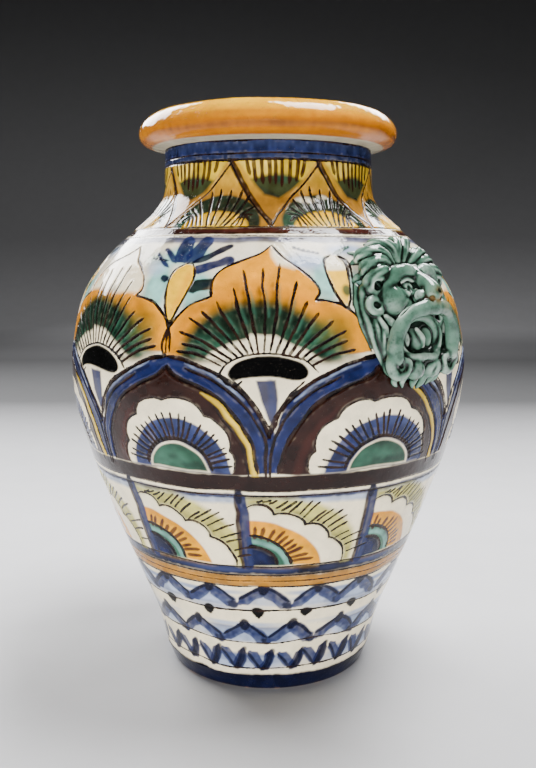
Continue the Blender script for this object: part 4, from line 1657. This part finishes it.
# Where the camera stands, in metres from the vase's axis and up, how far it looks down, and its
# lens and sensor in millimetres.
VIEW_TURN = math.radians(90.0 - MASK_TURN)
CAMERA_AWAY = 0.477
CAMERA_HEIGHT = 0.227
CAMERA_DOWN = math.radians(8.62)
LENS = 39.94
SENSOR = 36.0


def stage_point(right, near, up):
    """A place measured from the vase's axis as the camera sees it: right, nearer, up."""
    x = near * math.sin(VIEW_TURN) + right * math.cos(VIEW_TURN)
    y = -near * math.cos(VIEW_TURN) + right * math.sin(VIEW_TURN)
    return Vector((x, y, up))


# The distance behind the vase, in metres, that the paper's tones are spread over, and the tones
# as (share of that distance, grey).
TONE_REACH = 2.4
TONES = ((0.1, 0.53), (0.21, 0.36), (0.35, 0.075), (0.57, 0.058), (0.70, 0.14), (0.77, 0.23),
         (0.86, 0.212), (0.93, 0.175), (0.99, 0.136))


def build_stage():
    """A sheet of paper for floor and backdrop, toned by its distance behind the vase."""
    near, back, bend, top, half_width = 9.0, 1.6, 1.2, 3.6, 12.0
    steps = [(-near, 0.0), (back, 0.0)]
    steps += [(back + bend * math.sin(a), bend - bend * math.cos(a)) for a in np.linspace(0.08, 1.57, 20)]
    steps += [(back + bend, top)]
    points = [stage_point(across, -deep, up) for deep, up in steps for across in (-half_width, half_width)]
    quads = np.array([(2 * i, 2 * i + 1, 2 * i + 3, 2 * i + 2) for i in range(len(steps) - 1)])
    floor = make_mesh("floor", np.array(points) / MM, quads)
    nodes = Nodes("studio_paper")
    away = nodes.add("ShaderNodeVectorMath", operation="DOT_PRODUCT")
    nodes.put(away.inputs[0], nodes.place())
    away.inputs[1].default_value = stage_point(0.0, -1.0, 0.0)
    tones = nodes.add("ShaderNodeValToRGB")
    nodes.put(tones.inputs["Fac"], nodes.maths("MULTIPLY", away.outputs["Value"], 1 / TONE_REACH))
    elements = tones.color_ramp.elements
    elements.remove(elements[1])
    for index, (place, tone) in enumerate(TONES):
        element = elements.new(place) if index else elements[0]
        element.position = place
        element.color = (tone, tone, tone * 1.03, 1.0)
    split = nodes.add("ShaderNodeSeparateXYZ")
    nodes.put(split.inputs[0], nodes.place())
    high = nodes.ramp(split.outputs["Z"], 0.2, 1.4, 1.0, 0.24)
    grain = nodes.maths("MULTIPLY", nodes.ramp(nodes.noise(30.0, 3.0), 0.3, 0.7, 0.97, 1.0), high)
    paper = tones.outputs["Color"]
    nodes.put(nodes.shader.inputs["Base Color"], nodes.blend(1.0, paper, grain, "MULTIPLY"))
    nodes.shader.inputs["Roughness"].default_value = 0.8
    nodes.shader.inputs["Specular IOR Level"].default_value = 0.2
    floor.data.materials.append(nodes.material)


def look_at(thing, target):
    """Turn a camera or a light towards a place."""
    direction = Vector(target) - thing.location
    thing.rotation_euler = direction.to_track_quat("-Z", "Y").to_euler()


def build_camera():
    """The camera, level with the shoulder and looking a little down."""
    data = bpy.data.cameras.new("camera")
    data.lens = LENS
    data.sensor_width = SENSOR
    data.sensor_fit = "AUTO"
    data.clip_start = 0.02
    camera = bpy.data.objects.new("camera", data)
    bpy.context.collection.objects.link(camera)
    camera.location = stage_point(0.0, CAMERA_AWAY, CAMERA_HEIGHT)
    ahead = math.tan(CAMERA_DOWN) * CAMERA_AWAY
    look_at(camera, stage_point(0.0, 0.0, CAMERA_HEIGHT - ahead))
    bpy.context.scene.camera = camera


def area_light(name, place, target, size, power, colour=(1.0, 1.0, 1.0)):
    """A rectangular light, with its sides in metres and its power in watts."""
    data = bpy.data.lights.new(name, "AREA")
    data.shape = "RECTANGLE"
    data.size, data.size_y = size
    data.energy = power
    data.color = colour
    light = bpy.data.objects.new(name, data)
    bpy.context.collection.objects.link(light)
    light.location = place
    look_at(light, target)
    return light


def build_lights():
    """Soft boxes overhead and behind the vase, and two fills that leave no reflection."""
    middle = (0.0, 0.0, 0.16)
    area_light("overhead", stage_point(0.34, -0.12, 1.3), middle, (0.7, 0.5), 44.0)
    area_light("back_left", stage_point(-0.8, -0.9, 0.95), middle, (0.9, 0.7), 44.0)
    area_light("back_right", stage_point(0.55, -1.05, 0.95), middle, (0.5, 0.4), 12.0)
    for name, place, size, power in (("front_fill", stage_point(-0.5, 1.75, 0.13), (1.5, 0.24), 54.0),
                                     ("right_fill", stage_point(1.5, 0.8, 0.4), (1.0, 0.7), 6.0)):
        fill = area_light(name, place, middle, size, power, (1.0, 0.99, 0.975))
        fill.visible_glossy = False
    world = bpy.data.worlds.new("studio")
    world.use_nodes = True
    background = world.node_tree.nodes["Background"]
    background.inputs["Color"].default_value = (0.55, 0.56, 0.58, 1.0)
    background.inputs["Strength"].default_value = 0.08
    bpy.context.scene.world = world


def main():
    """Build the vase's pieces, tie them to the frame, and set up the picture."""
    canvas = paint_wall()
    glaze = painted_glaze()
    pieces = build_wall(canvas, glaze)
    pieces.append((build_foot(canvas, glaze), "foot_ring", "painted_tin_glaze"))
    pieces.append((build_floor(glaze), "floor_disc", "painted_tin_glaze"))
    pieces.append((build_rim(glaze), "rim_roll", "ochre_rim_glaze"))
    pieces += build_masks(mask_glaze())
    for piece, nodes, slot in pieces:
        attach(piece, "root")
        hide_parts(*([nodes] if isinstance(nodes, str) else nodes))
    build_stage()
    build_camera()
    build_lights()


main()
